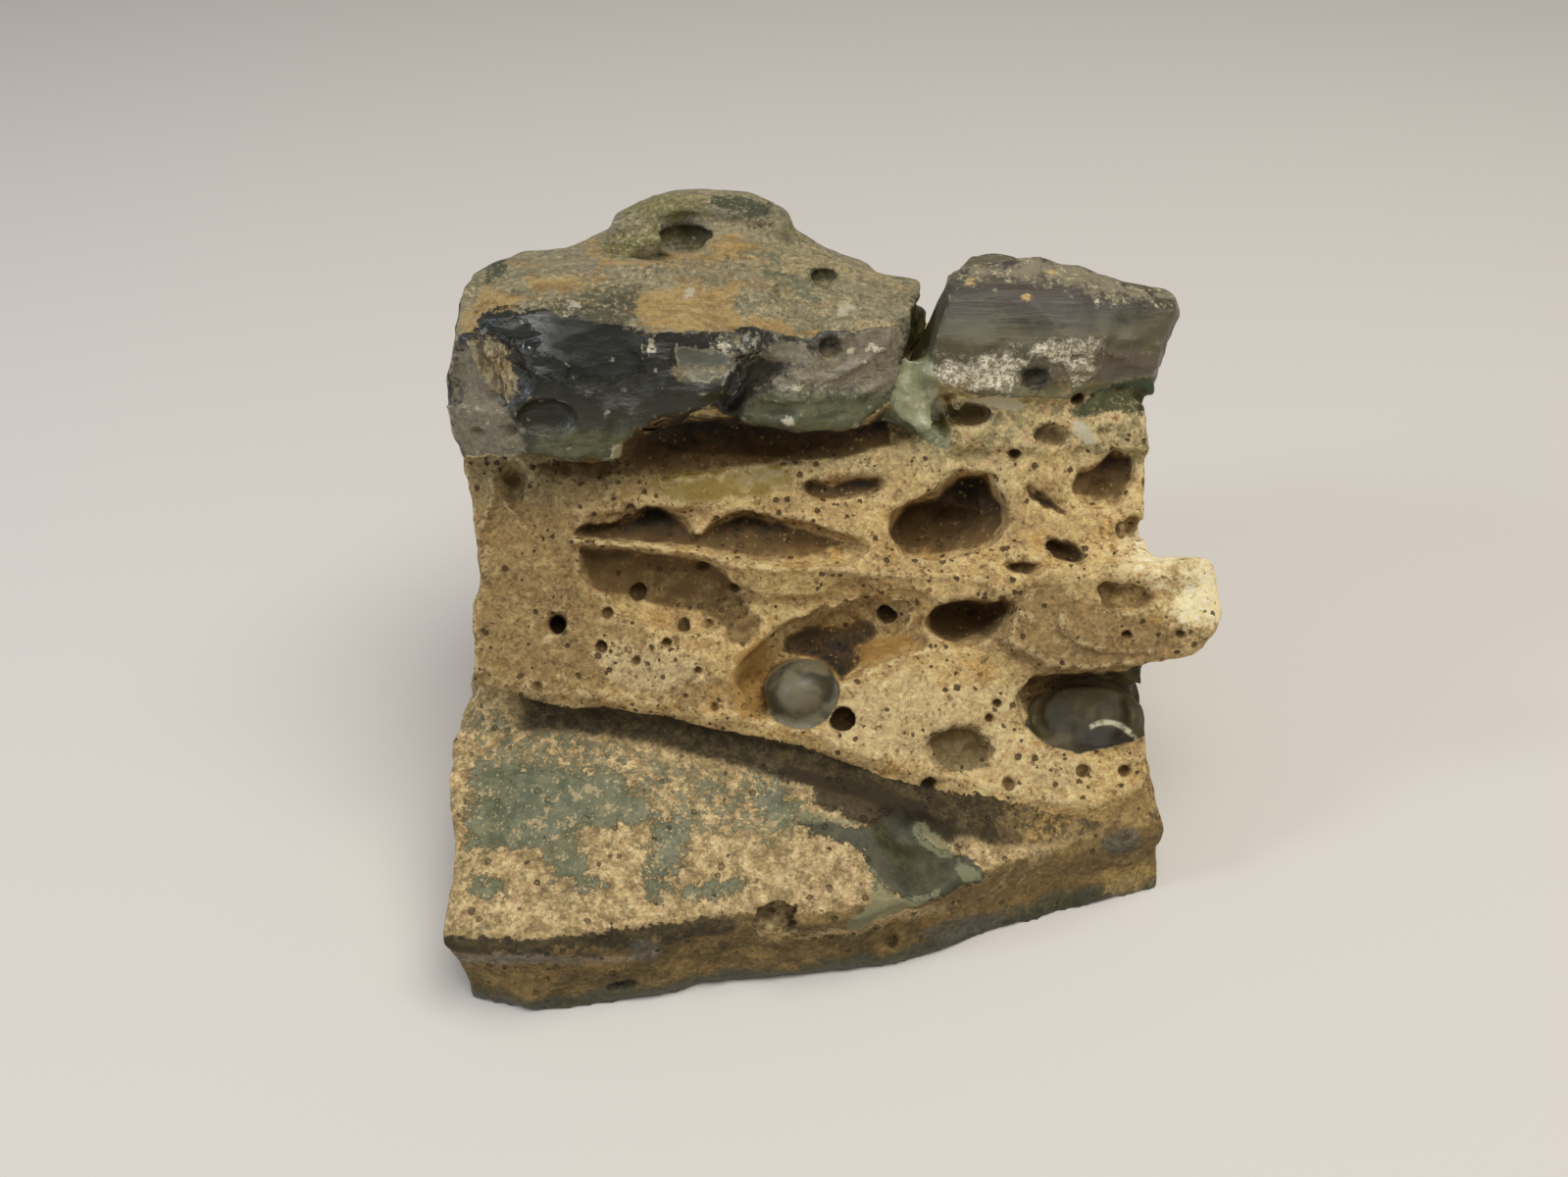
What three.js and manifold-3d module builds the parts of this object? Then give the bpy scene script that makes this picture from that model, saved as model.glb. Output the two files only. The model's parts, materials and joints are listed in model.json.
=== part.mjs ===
// A chunk of slag glass: a dark glass cap on a frothy tan body, with a wedge of crusted glass at its foot.
// Millimetres, +X to the right, +Y to the back, +Z up. The origin is at the middle of the underside.
import * as THREE from "three";
import { ImprovedNoise } from "three/addons/math/ImprovedNoise.js";
import { mergeVertices } from "three/addons/utils/BufferGeometryUtils.js";
import Module from "manifold-3d";

// Driving dimensions. While it is shaped, Y is 0 at the foot's front corner and Z is 0 at the base.
const LEFT = -46;
const RIGHT = 53;
const BACK = 90;
const CAP_FOOT = 60; // where the frothy face goes under the cap
const FACE_FOOT = 11; // the Y at which the frothy face's plane would meet the ground
const FACE_LEAN = 0.69; // how far the frothy face goes back for each millimetre up
const BURIED = 1.5; // how far the foot is made below the base, before the base is cut flat
const FINE = { size: 9, height: 0.6 }; // the froth's small bumps
const SMOOTH = { size: 11, height: 0.3 }; // the glass's small bumps
const BROAD = { size: 24, height: 3.2 }; // the sides' and the back's large bumps
const BROAD_FROM = 66; // the Y at which the large bumps begin
const BROAD_TO = 90; // the Y at which they are at full height

const wasm = await Module();
wasm.setup();
const noise = new ImprovedNoise();

// ---- Shaping helpers ----

// Moves a point by smooth noise whose bumps are `size` across and `height` high.
function roughen(point, { size, height }, share = 1) {
  const [x, y, z] = point.toArray().map((value) => value / size);
  const push = new THREE.Vector3(
    noise.noise(x + 3.1, y, z),
    noise.noise(x, y + 7.7, z),
    noise.noise(x, y, z + 5.3),
  );
  return point.addScaledVector(push, 2 * height * share);
}

// Small bumps everywhere, and large ones that grow towards the back.
function weather(point, small) {
  const share = THREE.MathUtils.smoothstep(point.y, BROAD_FROM, BROAD_TO);
  return roughen(roughen(point, BROAD, share), small);
}

// A line that runs from left to right along the lump, through evenly spaced [y, z] places.
function rail(left, right, ...path) {
  const line = new THREE.CatmullRomCurve3(path.map(([y, z]) => new THREE.Vector3(0, y, z)));
  return (share) => line.getPoint(share).setX(THREE.MathUtils.lerp(left, right, share));
}

// One cross-section: goes from rail to rail, with the given number of steps from each rail to the next.
function section(rails, share) {
  const corners = rails.map(([line]) => line(share));
  return rails.flatMap(([, steps], i) => {
    const next = corners[(i + 1) % corners.length];
    return Array.from({ length: steps }, (_, k) => corners[i].clone().lerp(next, k / steps));
  });
}

// A closed lump through its rails: a sphere whose rings are pulled onto the cross-sections.
// Each end closes on a pole, over rings that hold these shares of the end's cross-section.
function lump({ rails, rings, leftPole, rightPole, endShares, relief }) {
  const end = (share, pole, parts) =>
    parts.map((part) =>
      section(rails, share).map((point) => roughen(pole.clone().lerp(point, part), BROAD, 1 - part ** 4)),
    );
  const middle = Array.from({ length: rings + 1 }, (_, ring) => section(rails, ring / rings));
  const rows = [
    ...end(0, leftPole, [0, ...endShares]),
    ...middle,
    ...end(1, rightPole, [...endShares.toReversed(), 0]),
  ];
  const around = rows[0].length;
  const geometry = new THREE.SphereGeometry(1, around, rows.length - 1);
  const place = geometry.getAttribute("position");
  rows.forEach((row, i) => {
    for (let j = 0; j <= around; j++) {
      place.setXYZ(i * (around + 1) + j, ...relief(row[j % around].clone()));
    }
  });
  return solid(geometry);
}

// A blob: a ball with uneven sides, squared off if `square` is under 1, then stretched, turned and moved.
function blob({ at, radii, turn = [0, 0, 0], detail = 1, uneven = 0.14, square = 1, seed }) {
  const geometry = new THREE.IcosahedronGeometry(1, detail);
  const place = geometry.getAttribute("position");
  const point = new THREE.Vector3();
  for (let i = 0; i < place.count; i++) {
    point.fromBufferAttribute(place, i);
    const swell = noise.noise(point.x * 1.7 + seed, point.y * 1.7, point.z * 1.7);
    const squared = point.toArray().map((value) => Math.sign(value) * Math.abs(value) ** square);
    place.setXYZ(i, ...point.fromArray(squared).multiplyScalar(1 + 2 * uneven * swell));
  }
  const matrix = new THREE.Matrix4().compose(
    new THREE.Vector3(...at),
    new THREE.Quaternion().setFromEuler(new THREE.Euler(...turn.map(THREE.MathUtils.degToRad))),
    new THREE.Vector3(...radii),
  );
  return solid(geometry.applyMatrix4(matrix));
}

// A three.js geometry as a solid that can be joined and cut.
function solid(geometry) {
  geometry.deleteAttribute("normal");
  geometry.deleteAttribute("uv");
  const merged = mergeVertices(geometry, 1e-4);
  return new wasm.Manifold(
    new wasm.Mesh({
      numProp: 3,
      vertProperties: merged.getAttribute("position").array,
      triVerts: new Uint32Array(merged.index.array),
    }),
  );
}

const join = (solids) => solids.reduce((all, next) => all.add(next));

// The same place at every step of a rail that stays level.
const level = (y, z) => Array.from({ length: 9 }, () => [y, z]);

// ---- The frothy face ----

// The face leans back along one plane: its tilt, the way it looks out, and a point on it or in front of it.
const FACE_TILT = Math.atan(FACE_LEAN);
const FACE_OUT = new THREE.Vector3(0, -Math.cos(FACE_TILT), Math.sin(FACE_TILT));
const TILTED = -THREE.MathUtils.radToDeg(FACE_TILT);
const onFace = (x, z, out = 0) =>
  new THREE.Vector3(x, FACE_FOOT + FACE_LEAN * z, z).addScaledVector(FACE_OUT, out).toArray();

// Where the face swells out or sinks in: the place, how wide, how long up the slope, and how high.
const SWELLS = [
  { x: -22, z: 48.4, wide: 10, long: 2.2, height: 1.5 }, // the thin ridge under the long hollow
  { x: 3, z: 45.6, wide: 12, long: 2.6, height: 2.2 }, // where it thickens
  { x: 27, z: 44.4, wide: 11, long: 3, height: 2.6 }, // between the two caves
  { x: 45, z: 41.5, wide: 11, long: 5.5, height: 4.2 }, // the arm that ends in the nub
  { x: -14, z: 55.5, wide: 12, long: 3, height: 1.2 }, // the smooth swelling under the cap
  { x: -17, z: 42, wide: 12, long: 4, height: -1.6 }, // the basin
  { x: 7, z: 37.5, wide: 9, long: 4.5, height: -2.4 }, // the recess above the bead
  { x: -31, z: 34, wide: 10, long: 4, height: 0.8 },
  { x: 22, z: 29, wide: 8, long: 4, height: 1 },
  { x: 42, z: 59, wide: 10, long: 4, height: 1.2 },
];

const swellAt = (x, z) =>
  SWELLS.reduce((sum, bump) => {
    const away = ((x - bump.x) / bump.wide) ** 2 + ((z - bump.z) / bump.long) ** 2;
    return sum + bump.height * Math.exp(-away);
  }, 0);

function swell(point) {
  const depth = point.y - FACE_FOOT - FACE_LEAN * point.z;
  const near = Math.exp(-((depth / 8) ** 2));
  return point.addScaledVector(FACE_OUT, swellAt(point.x, point.z) * near);
}

// The frothy body, with the glass wedge at its foot.
function body() {
  const footFront = [[2, 0], [-0.5, 0], [1.5, 0], [4.9, 0], [5.6, 0], [8.8, 0], [13.3, 0], [18, 0], [22, 0]];
  const groove = [[3, 9], [1, 9], [3, 9], [6, 9], [6.6, 9], [9.5, 9], [15, 7], [19.5, 6], [24, 6]];
  const rim = [
    [1, 13], [-0.5, 13], [2.4, 13], [4.4, 13], [4.4, 13], [7.2, 13], [13.4, 13], [19.6, 11], [23, 11],
  ];
  const wedgeBack = [
    [33.4, 24], [32.8, 23.5], [31, 23], [28, 22], [24.5, 20.6], [20.5, 19.3], [18, 15.5], [20.8, 13],
    [24.5, 13.5],
  ];
  const underLip = [
    [36, 28], [34, 26], [33.5, 25.3], [31.5, 24], [29, 22.4], [26, 20.3], [22.5, 17], [22.4, 14.4],
    [25.5, 16],
  ];
  const lip = [
    [33.3, 32.5], [31.3, 29.6], [30.9, 28.9], [29.4, 26.7], [27.7, 24.4], [25.5, 21.1], [24, 19],
    [22.3, 16.6], [25, 20],
  ];
  const faceMiddle = level(FACE_FOOT + FACE_LEAN * 46, 46);
  const faceTop = level(FACE_FOOT + FACE_LEAN * CAP_FOOT + 2, CAP_FOOT);
  return lump({
    rails: [
      [rail(LEFT - 0.5, RIGHT + 4, ...footFront), 1],
      [rail(LEFT, RIGHT + 4, ...groove), 1],
      [rail(LEFT - 0.5, RIGHT + 3.5, ...rim), 4],
      [rail(LEFT, RIGHT + 0.5, ...wedgeBack), 1],
      [rail(LEFT + 0.5, RIGHT, ...underLip), 1],
      [rail(LEFT, RIGHT - 0.5, ...lip), 6],
      [rail(LEFT + 2, RIGHT, ...faceMiddle), 5],
      [rail(LEFT - 1, RIGHT + 0.5, ...faceTop), 1],
      [rail(LEFT + 1, RIGHT - 1, ...level(70, 64)), 1],
      [rail(LEFT + 2, RIGHT - 2, ...level(BACK - 1, 60)), 2],
      [rail(LEFT + 2, RIGHT - 1, ...level(BACK, 36)), 2],
      [rail(LEFT + 3, RIGHT, ...level(BACK - 3, 14)), 1],
      [rail(LEFT + 4, RIGHT, ...level(BACK - 8, -BURIED)), 1],
      [rail(LEFT + 3, RIGHT + 1, ...level(34, -BURIED)), 1],
    ],
    rings: 27,
    leftPole: new THREE.Vector3(LEFT - 1, 52, 30),
    rightPole: new THREE.Vector3(RIGHT + 1, 54, 30),
    endShares: [0.45, 0.8, 0.95],
    relief: (point) => weather(swell(point), FINE),
  });
}

// The blunt nub at the end of the arm.
function nub() {
  const at = onFace(50, 40.8, 0.6);
  return blob({ at, radii: [12, 6, 7.4], turn: [TILTED, 2, 0], detail: 2, square: 0.72, seed: 5 });
}

// ---- The glass on top ----

// The cap's back and sides stand over the body's.
function cap() {
  const frontFoot = [
    [54, 63], [53, 64], [53, 64], [53, 64.5], [52, 65], [50.3, 64.7], [50.2, 64.2], [51, 64.2], [55, 69],
  ];
  const frontMiddle = [
    [53, 71], [53, 71.5], [53, 72], [53, 72], [52.4, 72], [51, 71], [50.4, 70.5], [52, 70.5], [56, 74],
  ];
  const frontTop = [
    [53, 79.4], [53, 81], [53, 81], [53, 79.4], [52.8, 79.2], [52, 79.2], [53, 76.8], [54.6, 77], [58, 78.6],
  ];
  const shoulder = [
    [54, 82.2], [58, 83.3], [62, 84.2], [65, 84.6], [66, 84.8], [66, 84.8], [65, 83.4], [63, 80.6],
    [62, 79.4],
  ];
  const crest = [
    [60, 82.8], [68, 84.2], [74, 85.5], [76, 87.2], [77, 88.2], [77, 87.6], [76, 83.8], [72, 81.2],
    [67, 79.8],
  ];
  const backTop = [
    [70, 80], [80, 79], [85, 80.5], [87, 83], [88, 83.6], [88, 82.6], [86, 78.5], [82, 76], [72, 76],
  ];
  return lump({
    rails: [
      [rail(LEFT, 16.5, ...frontFoot), 2],
      [rail(LEFT + 0.2, 17.5, ...frontMiddle), 2],
      [rail(LEFT + 1.5, 18.5, ...frontTop), 3],
      [rail(LEFT + 1.5, 19.6, ...shoulder), 2],
      [rail(LEFT + 2, 20, ...crest), 2],
      [rail(LEFT + 2, 20, ...backTop), 3],
      [rail(LEFT + 2, 19, ...level(BACK - 1, 58)), 2],
      [rail(LEFT + 2, 17, ...level(62, 57)), 1],
    ],
    rings: 16,
    leftPole: new THREE.Vector3(LEFT - 0.5, 64, 70),
    rightPole: new THREE.Vector3(19, 70, 68),
    endShares: [0.5, 0.88],
    relief: (point) => weather(point, SMOOTH),
  });
}

// The broken lobe that hangs over the frothy face at the cap's left front, and stops at a step.
function lobe() {
  const foot = [
    [48, 61.3], [45, 62.6], [44, 63.4], [44.6, 62.4], [46, 61.9], [46.4, 66.5], [47, 68.6], [48.4, 70.8],
  ];
  const low = [
    [46.6, 66], [44.8, 66.6], [44, 67.2], [44.4, 66.8], [45.6, 67], [46.2, 70], [46.8, 71], [48, 73],
  ];
  const high = [
    [47.4, 76], [47, 77.4], [47, 77.8], [47.2, 77.2], [48, 76.8], [48.4, 76], [48.8, 76], [50, 76],
  ];
  const top = [
    [49, 79.8], [49.8, 81.9], [50.6, 82.2], [50.6, 81.4], [51, 79.9], [51.4, 79.5], [52, 79], [53.5, 78],
  ];
  const topBack = [[58, 83], [60, 84], [61, 84.3], [62, 84.6], [62, 84.6], [62, 84.6], [61, 84.4], [59, 83]];
  const insideFoot = Array.from({ length: 8 }, () => [60, 67]);
  return lump({
    rails: [
      [rail(LEFT + 0.3, -6.5, ...foot), 1],
      [rail(LEFT - 0.5, -5.5, ...low), 2],
      [rail(LEFT, -4.5, ...high), 2],
      [rail(LEFT + 1.5, -3, ...top), 1],
      [rail(LEFT + 2, 0, ...topBack), 1],
      [rail(LEFT + 2, -6, ...insideFoot), 1],
    ],
    rings: 11,
    leftPole: new THREE.Vector3(LEFT - 0.5, 54, 72),
    rightPole: new THREE.Vector3(-4, 55, 74),
    endShares: [0.75],
    relief: (point) => roughen(point, SMOOTH),
  });
}

// The squarer block of glass on the right, past the crack. Its top slopes down to a shelf at the front.
function block() {
  const foot = [
    [54, 71.4], [53.5, 69.4], [53, 68.1], [53, 68], [53.5, 67.4], [54, 67.1], [55, 68.3], [56, 68], [57, 67],
  ];
  const shelf = [
    [55, 76.4], [54.6, 76], [54.4, 75.8], [54.4, 75.8], [54.8, 76.4], [55, 76.8], [55.4, 76.4],
    [56, 75.6], [57, 74],
  ];
  const slope = [
    [58.6, 80.6], [59, 81], [59, 81.2], [59, 81.2], [59, 81], [59, 80.8], [59.4, 79.8], [59.6, 79.2],
    [60, 78.6],
  ];
  const crest = [
    [64, 82.3], [65, 82.7], [66, 83.6], [66.6, 84], [66, 83], [66, 82.8], [65, 80.6], [64.6, 80], [64, 79.6],
  ];
  const back = [[82, 73], [86, 72], [88, 71], [88, 71], [88, 71], [87, 70], [86, 69], [85, 69], [82, 68]];
  return lump({
    rails: [
      [rail(20, RIGHT, ...foot), 2],
      [rail(21, RIGHT + 1, ...shelf), 1],
      [rail(22.8, RIGHT + 2, ...slope), 1],
      [rail(23.8, RIGHT + 2, ...crest), 3],
      [rail(24, RIGHT, ...back), 3],
      [rail(22, RIGHT - 2, ...level(BACK - 1, 58)), 3],
      [rail(22, RIGHT - 2, ...level(62, 57)), 1],
    ],
    rings: 10,
    leftPole: new THREE.Vector3(22.5, 70, 68),
    rightPole: new THREE.Vector3(RIGHT + 1.5, 68, 68),
    endShares: [0.55, 0.9],
    relief: (point) => weather(point, SMOOTH),
  });
}

// The tongue of glass that ran down beside the crack: wide at its root and narrow at its tip.
function tongue() {
  const cone = new THREE.CylinderGeometry(6.5, 1.2, 10, 8, 2).rotateX(Math.PI / 2);
  const matrix = new THREE.Matrix4().compose(
    new THREE.Vector3(18.6, 55.4, 66.6),
    new THREE.Quaternion().setFromEuler(new THREE.Euler(-0.62, -0.3, 0)),
    new THREE.Vector3(1, 0.55, 1),
  );
  return solid(cone.applyMatrix4(matrix));
}

// ---- Hollows and beads ----

// A bubble that broke open on the face: wide along X, long up the slope and deep into it.
function faceBubble({ x, z, wide, long, deep, turn = 0, out = 0, ...rest }) {
  const at = onFace(x, z, out + swellAt(x, z));
  return blob({ at, radii: [wide, deep, long], turn: [TILTED, turn, 0], ...rest });
}

const CAVES = [
  { x: -5, z: 61.5, wide: 17, long: 3.4, deep: 5, detail: 1, seed: 26 }, // the gap under the cap
  { x: 22.8, z: 51.3, wide: 8.6, long: 5.4, deep: 11, turn: -16, detail: 2, seed: 1 }, // the big cave
  { x: 26.6, z: 54.4, wide: 4.4, long: 4, deep: 9, turn: 20, detail: 1, seed: 2 }, // its upper right lobe
  { x: 27, z: 39.6, wide: 6.7, long: 3.3, deep: 9, turn: -6, detail: 2, seed: 3 }, // the bean-shaped cave
  { x: -20, z: 51.2, wide: 10, long: 2.6, deep: 3.6, turn: -3, detail: 2, seed: 6 }, // the long hollow, left
  { x: 0.5, z: 49, wide: 12, long: 3.2, deep: 4.2, turn: 7, detail: 2, seed: 7 }, // the long hollow, right
  { x: -15.5, z: 42.6, wide: 12.5, long: 5.4, deep: 4, turn: 12, detail: 2, seed: 8 }, // the basin under it
  { x: 8.5, z: 38.2, wide: 12, long: 4.4, deep: 4.4, turn: -16, detail: 2, seed: 11 }, // above the bead
  { x: 0.5, z: 32.4, wide: 8, long: 6.2, deep: 6.5, turn: -12, detail: 2, seed: 12 }, // the bead's pocket
  { x: 45, z: 29, wide: 10.6, long: 5.6, deep: 9, turn: 2, detail: 2, seed: 13 }, // at the right edge
];

const FACE_BUBBLES = [
  { x: 9.2, z: 55.6, wide: 6.4, long: 2, deep: 4, turn: -4, seed: 14 },
  { x: 25, z: 23.9, wide: 4.8, long: 3.5, deep: 1.8, turn: 6, seed: 15 },
  { x: 45.5, z: 55.2, wide: 3.9, long: 3, deep: 5, seed: 16 },
  { x: 41, z: 47.7, wide: 3, long: 1.6, deep: 3.6, turn: 12, out: 0.5, seed: 17 },
  { x: 35, z: 45.8, wide: 3.8, long: 1.4, deep: 3, turn: 4, seed: 18 },
  { x: 38.4, z: 54.3, wide: 3.6, long: 1, deep: 2.4, turn: 34, seed: 19 },
  { x: 49, z: 42.4, wide: 4, long: 1.5, deep: 2, turn: 10, out: 1.5, seed: 9 },
  { x: 8.6, z: 27.6, wide: 1.9, long: 2, deep: 3.4, seed: 20 },
  { x: 14.6, z: 40.6, wide: 2, long: 1.2, deep: 4, out: -2, seed: 21 },
  { x: -33, z: 39.1, wide: 1.6, long: 1.9, deep: 4, seed: 22 },
  { x: -39.5, z: 56.4, wide: 2.4, long: 3, deep: 3.4, turn: 8, seed: 23 },
  { x: 38.3, z: 62.2, wide: 3, long: 1.8, deep: 3.4, turn: 18, seed: 24 },
  { x: 51, z: 50.6, wide: 2, long: 1.6, deep: 4, turn: 30, seed: 25 },
];

// Bubbles elsewhere, by place and radii.
const OTHER_BUBBLES = [
  { at: [-18, 67, 85.2], radii: [7.8, 3.4, 4.4], turn: [0, -2, 4], detail: 2, seed: 31 }, // on the cap's top
  { at: [5.6, 62, 82.2], radii: [1.9, 1.4, 3], detail: 0, seed: 32 },
  { at: [6.6, 52, 76], radii: [1.4, 3, 1.4], detail: 0, seed: 33 },
  { at: [-32, 42.2, 68], radii: [3, 1.8, 2.2], turn: [0, 20, 0], seed: 34 }, // in the cap's front
  { at: [24.5, 53.5, 66], radii: [4, 4, 1.7], seed: 35 }, // under the block
  { at: [46.5, 54, 66.4], radii: [5, 4, 1.3], turn: [0, -14, 0], seed: 36 },
  { at: [20.3, 14.6, 19.6], radii: [10.4, 8, 5.6], turn: [18, 8, -18], detail: 2, seed: 37 }, // in the wedge
  { at: [7, 25, 21.4], radii: [6, 2.6, 2], turn: [0, 12, -16], seed: 38 }, // under the lip
  { at: [-1.5, 5, 13], radii: [2.2, 2.8, 1.9], seed: 40 }, // in the foot's rim
  { at: [-20.5, 2, 5], radii: [2.2, 1.8, 1.3], detail: 0, seed: 41 },
  { at: [15.5, 8, 5.5], radii: [1.8, 1.8, 1.4], detail: 0, seed: 42 },
  { at: [LEFT - 2.5, 62, 46], radii: [5, 8, 6], detail: 2, seed: 43 }, // on the left side
  { at: [LEFT - 1, 44, 19], radii: [3.6, 4, 3.4], seed: 44 },
  { at: [LEFT - 1, 76, 24], radii: [3.6, 4.6, 4], seed: 53 },
  { at: [RIGHT + 2, 48, 18], radii: [3.4, 4.4, 3], seed: 46 }, // on the right side
  { at: [RIGHT + 1, 76, 26], radii: [3.6, 4, 5], seed: 54 },
  { at: [-24, BACK, 44], radii: [9, 6, 4.6], turn: [0, 12, 0], seed: 47 }, // at the back
  { at: [5, BACK, 30], radii: [5, 5, 6.4], seed: 48 },
  { at: [29, BACK, 46], radii: [7, 6, 4.4], turn: [0, -10, 0], seed: 49 },
  { at: [-15, BACK, 17], radii: [5, 4, 3.4], seed: 51 },
];

// Wide shallow shells where the chunk was broken off, by place and radii.
const BREAKS = [
  { at: [RIGHT + 17, 66, 40], radii: [20, 24, 30], turn: [24, 0, 0], detail: 2, seed: 70 },
  { at: [LEFT - 15, 74, 26], radii: [18, 26, 22], turn: [-20, 0, 0], detail: 2, seed: 72 },
  { at: [-20, BACK + 20, 20], radii: [34, 24, 22], turn: [0, 14, 0], detail: 2, seed: 73 },
  { at: [26, BACK + 18, 50], radii: [30, 21, 20], turn: [0, -24, 0], detail: 2, seed: 74 },
  { at: [-24, BACK + 14, 74], radii: [26, 17, 17], turn: [0, -8, 0], detail: 2, seed: 75 },
];

// Beads of glass that stayed in their pockets, fused to the froth behind them.
const BEADS = [
  { x: 2.3, z: 31, wide: 5.4, long: 4.6, deep: 6.5, turn: -20, out: -3, detail: 2, uneven: 0.03, seed: 60 },
  { x: 45.5, z: 27.4, wide: 7.8, long: 5, deep: 7, turn: 6, out: -4, detail: 2, uneven: 0.05, seed: 61 },
];

// Everything below the base goes, so that the chunk rests on one flat face.
const ground = () => solid(new THREE.BoxGeometry(300, 300, 20).translate(0, 0, -10));

function chunk() {
  const outside = join([body(), nub(), cap(), lobe(), block(), tongue()]);
  const bubbles = [...CAVES, ...FACE_BUBBLES].map(faceBubble);
  const breaks = [...OTHER_BUBBLES, ...BREAKS].map(blob);
  const broken = outside.subtract(join([...bubbles, ...breaks, ground()]));
  const whole = join([broken, ...BEADS.map(faceBubble)]);
  const { vertProperties, triVerts } = whole.getMesh();
  const geometry = new THREE.BufferGeometry();
  geometry.setAttribute("position", new THREE.BufferAttribute(vertProperties, 3));
  geometry.setIndex(new THREE.BufferAttribute(triVerts, 1));
  geometry.computeBoundingBox();
  const { min, max } = geometry.boundingBox;
  geometry.translate(-(min.x + max.x) / 2, -(min.y + max.y) / 2, -min.z);
  geometry.computeVertexNormals();
  const slag = new THREE.MeshStandardMaterial({ color: 0x8f8462, roughness: 0.6, metalness: 0 });
  const mesh = new THREE.Mesh(geometry, slag);
  mesh.name = "slag_glass_chunk";
  return mesh;
}

const part = new THREE.Group();
part.add(chunk());
export default part;
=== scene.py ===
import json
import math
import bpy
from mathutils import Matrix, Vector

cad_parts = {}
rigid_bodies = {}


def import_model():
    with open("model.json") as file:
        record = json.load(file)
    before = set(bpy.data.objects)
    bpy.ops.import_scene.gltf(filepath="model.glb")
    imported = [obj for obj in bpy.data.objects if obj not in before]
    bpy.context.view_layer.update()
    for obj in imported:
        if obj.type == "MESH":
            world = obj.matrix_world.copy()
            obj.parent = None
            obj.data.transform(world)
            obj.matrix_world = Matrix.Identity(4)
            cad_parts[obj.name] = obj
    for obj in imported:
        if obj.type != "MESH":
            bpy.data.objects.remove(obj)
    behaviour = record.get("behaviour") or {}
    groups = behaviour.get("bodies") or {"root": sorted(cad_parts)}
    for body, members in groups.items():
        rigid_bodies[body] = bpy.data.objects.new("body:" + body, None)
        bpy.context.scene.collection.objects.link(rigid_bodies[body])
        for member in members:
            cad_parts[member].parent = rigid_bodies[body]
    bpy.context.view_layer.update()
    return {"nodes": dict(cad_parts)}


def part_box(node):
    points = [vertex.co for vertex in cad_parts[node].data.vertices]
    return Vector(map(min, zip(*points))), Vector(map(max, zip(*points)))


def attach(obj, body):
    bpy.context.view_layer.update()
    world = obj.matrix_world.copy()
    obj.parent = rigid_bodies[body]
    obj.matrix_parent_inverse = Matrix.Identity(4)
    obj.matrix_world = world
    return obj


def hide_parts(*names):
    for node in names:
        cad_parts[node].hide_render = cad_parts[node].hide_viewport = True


bl_info = {
    "name": "Slag Glass Chunk",
    "version": (1, 0, 0),
    "blender": (4, 5, 0),
    "location": "View3D > Sidebar > Slag Glass",
    "description": "Models a chunk of slag glass with a frothy middle and sets it on a plain stage",
    "category": "Add Mesh",
}

from itertools import product

import bpy
import numpy as np
from mathutils import Vector
from mathutils.bvhtree import BVHTree
from mathutils.kdtree import KDTree

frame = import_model()

MM = 0.001
NODE = "slag_glass_chunk"
PIECE = "slag_glass_piece"
LOW, HIGH = (np.array(corner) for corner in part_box(NODE))
# Places below are in millimetres from the foot's front corner: X right, Y back, Z up.
CORNER = LOW + np.array((48.94, 1.24, 0.0)) * MM

# The leaning frothy face: Y = FACE_FOOT + FACE_LEAN * Z.
FACE_FOOT = 11.0
FACE_LEAN = 0.69
FACE_OUT = np.array((0.0, -1.0, FACE_LEAN)) / math.hypot(1.0, FACE_LEAN)

# Where the camera stands, and from where the patches and the round holes below are placed.
EYE = np.array((0.0, -120.5, 165.0))

# How far back the upright sheet stands on which places are given as they show from there.
SHEET_BACK = 40.0

# Heights along X at which one layer gives way to the next.
CAP_FOOT = ((-46, 61.3), (-40.8, 62.8), (-34.9, 63.4), (-30.9, 62.3), (-24.5, 61.7), (-22.2, 64.3),
            (-20.3, 66.7), (-16.8, 67.8), (-11.7, 68.4), (-8.6, 66), (-4, 64.6), (2.8, 64.4),
            (8.4, 63.8), (12.2, 64.7), (16.1, 67.3), (20.9, 70.6), (27.8, 68), (33.3, 68),
            (41.7, 67), (47.3, 67.5), (53.6, 62.5))
LIP = ((-46, 33), (-39.6, 30.4), (-32.4, 29.5), (-21.4, 28.9), (-15.9, 27.7), (-8.6, 26.9),
       (-0.6, 25.7), (2.9, 25), (9.5, 22.6), (17.4, 21.1), (23.6, 19.7), (30, 18.9), (35, 18.2),
       (39, 16.8), (45.5, 16), (53, 20))
# Depths along X (Y) of the wedge's front rim, and of the line where its top meets the froth.
RIM = ((-46, 1), (-34, -0.5), (-21, 2.4), (-8, 4.4), (5, 4.4), (18, 7.2), (31, 13.4), (44, 19.6), (57, 23))
WEDGE_BACK = ((-46, 33.4), (-34, 32.8), (-21, 31), (-9, 28), (4, 24.5), (16, 20.5), (29, 18),
              (41, 20.8), (54, 24.5))
# The crack between the cap and the block: its X at a height, and how far it leans right for each mm up.
CRACK, CRACK_HEIGHT, CRACK_LEAN = 19.6, 74.0, 0.06
# Behind the frothy face the cap's foot and the wedge's top are about level: their heights, and the
# depths between which the cap's foot goes over into that.
BACK_FOOT, BACK_LIP = 60.5, 22.0
BACK_START, BACK_END = 58.0, 66.0
# The depth past which the wedge's top is no longer under the frothy face.
FACE_END = 45.0


def on_face(x, z, out=0.0):
    """A place on the leaning frothy face, moved out from it."""
    return np.array((x, FACE_FOOT + FACE_LEAN * z, z)) + FACE_OUT * out


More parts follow.
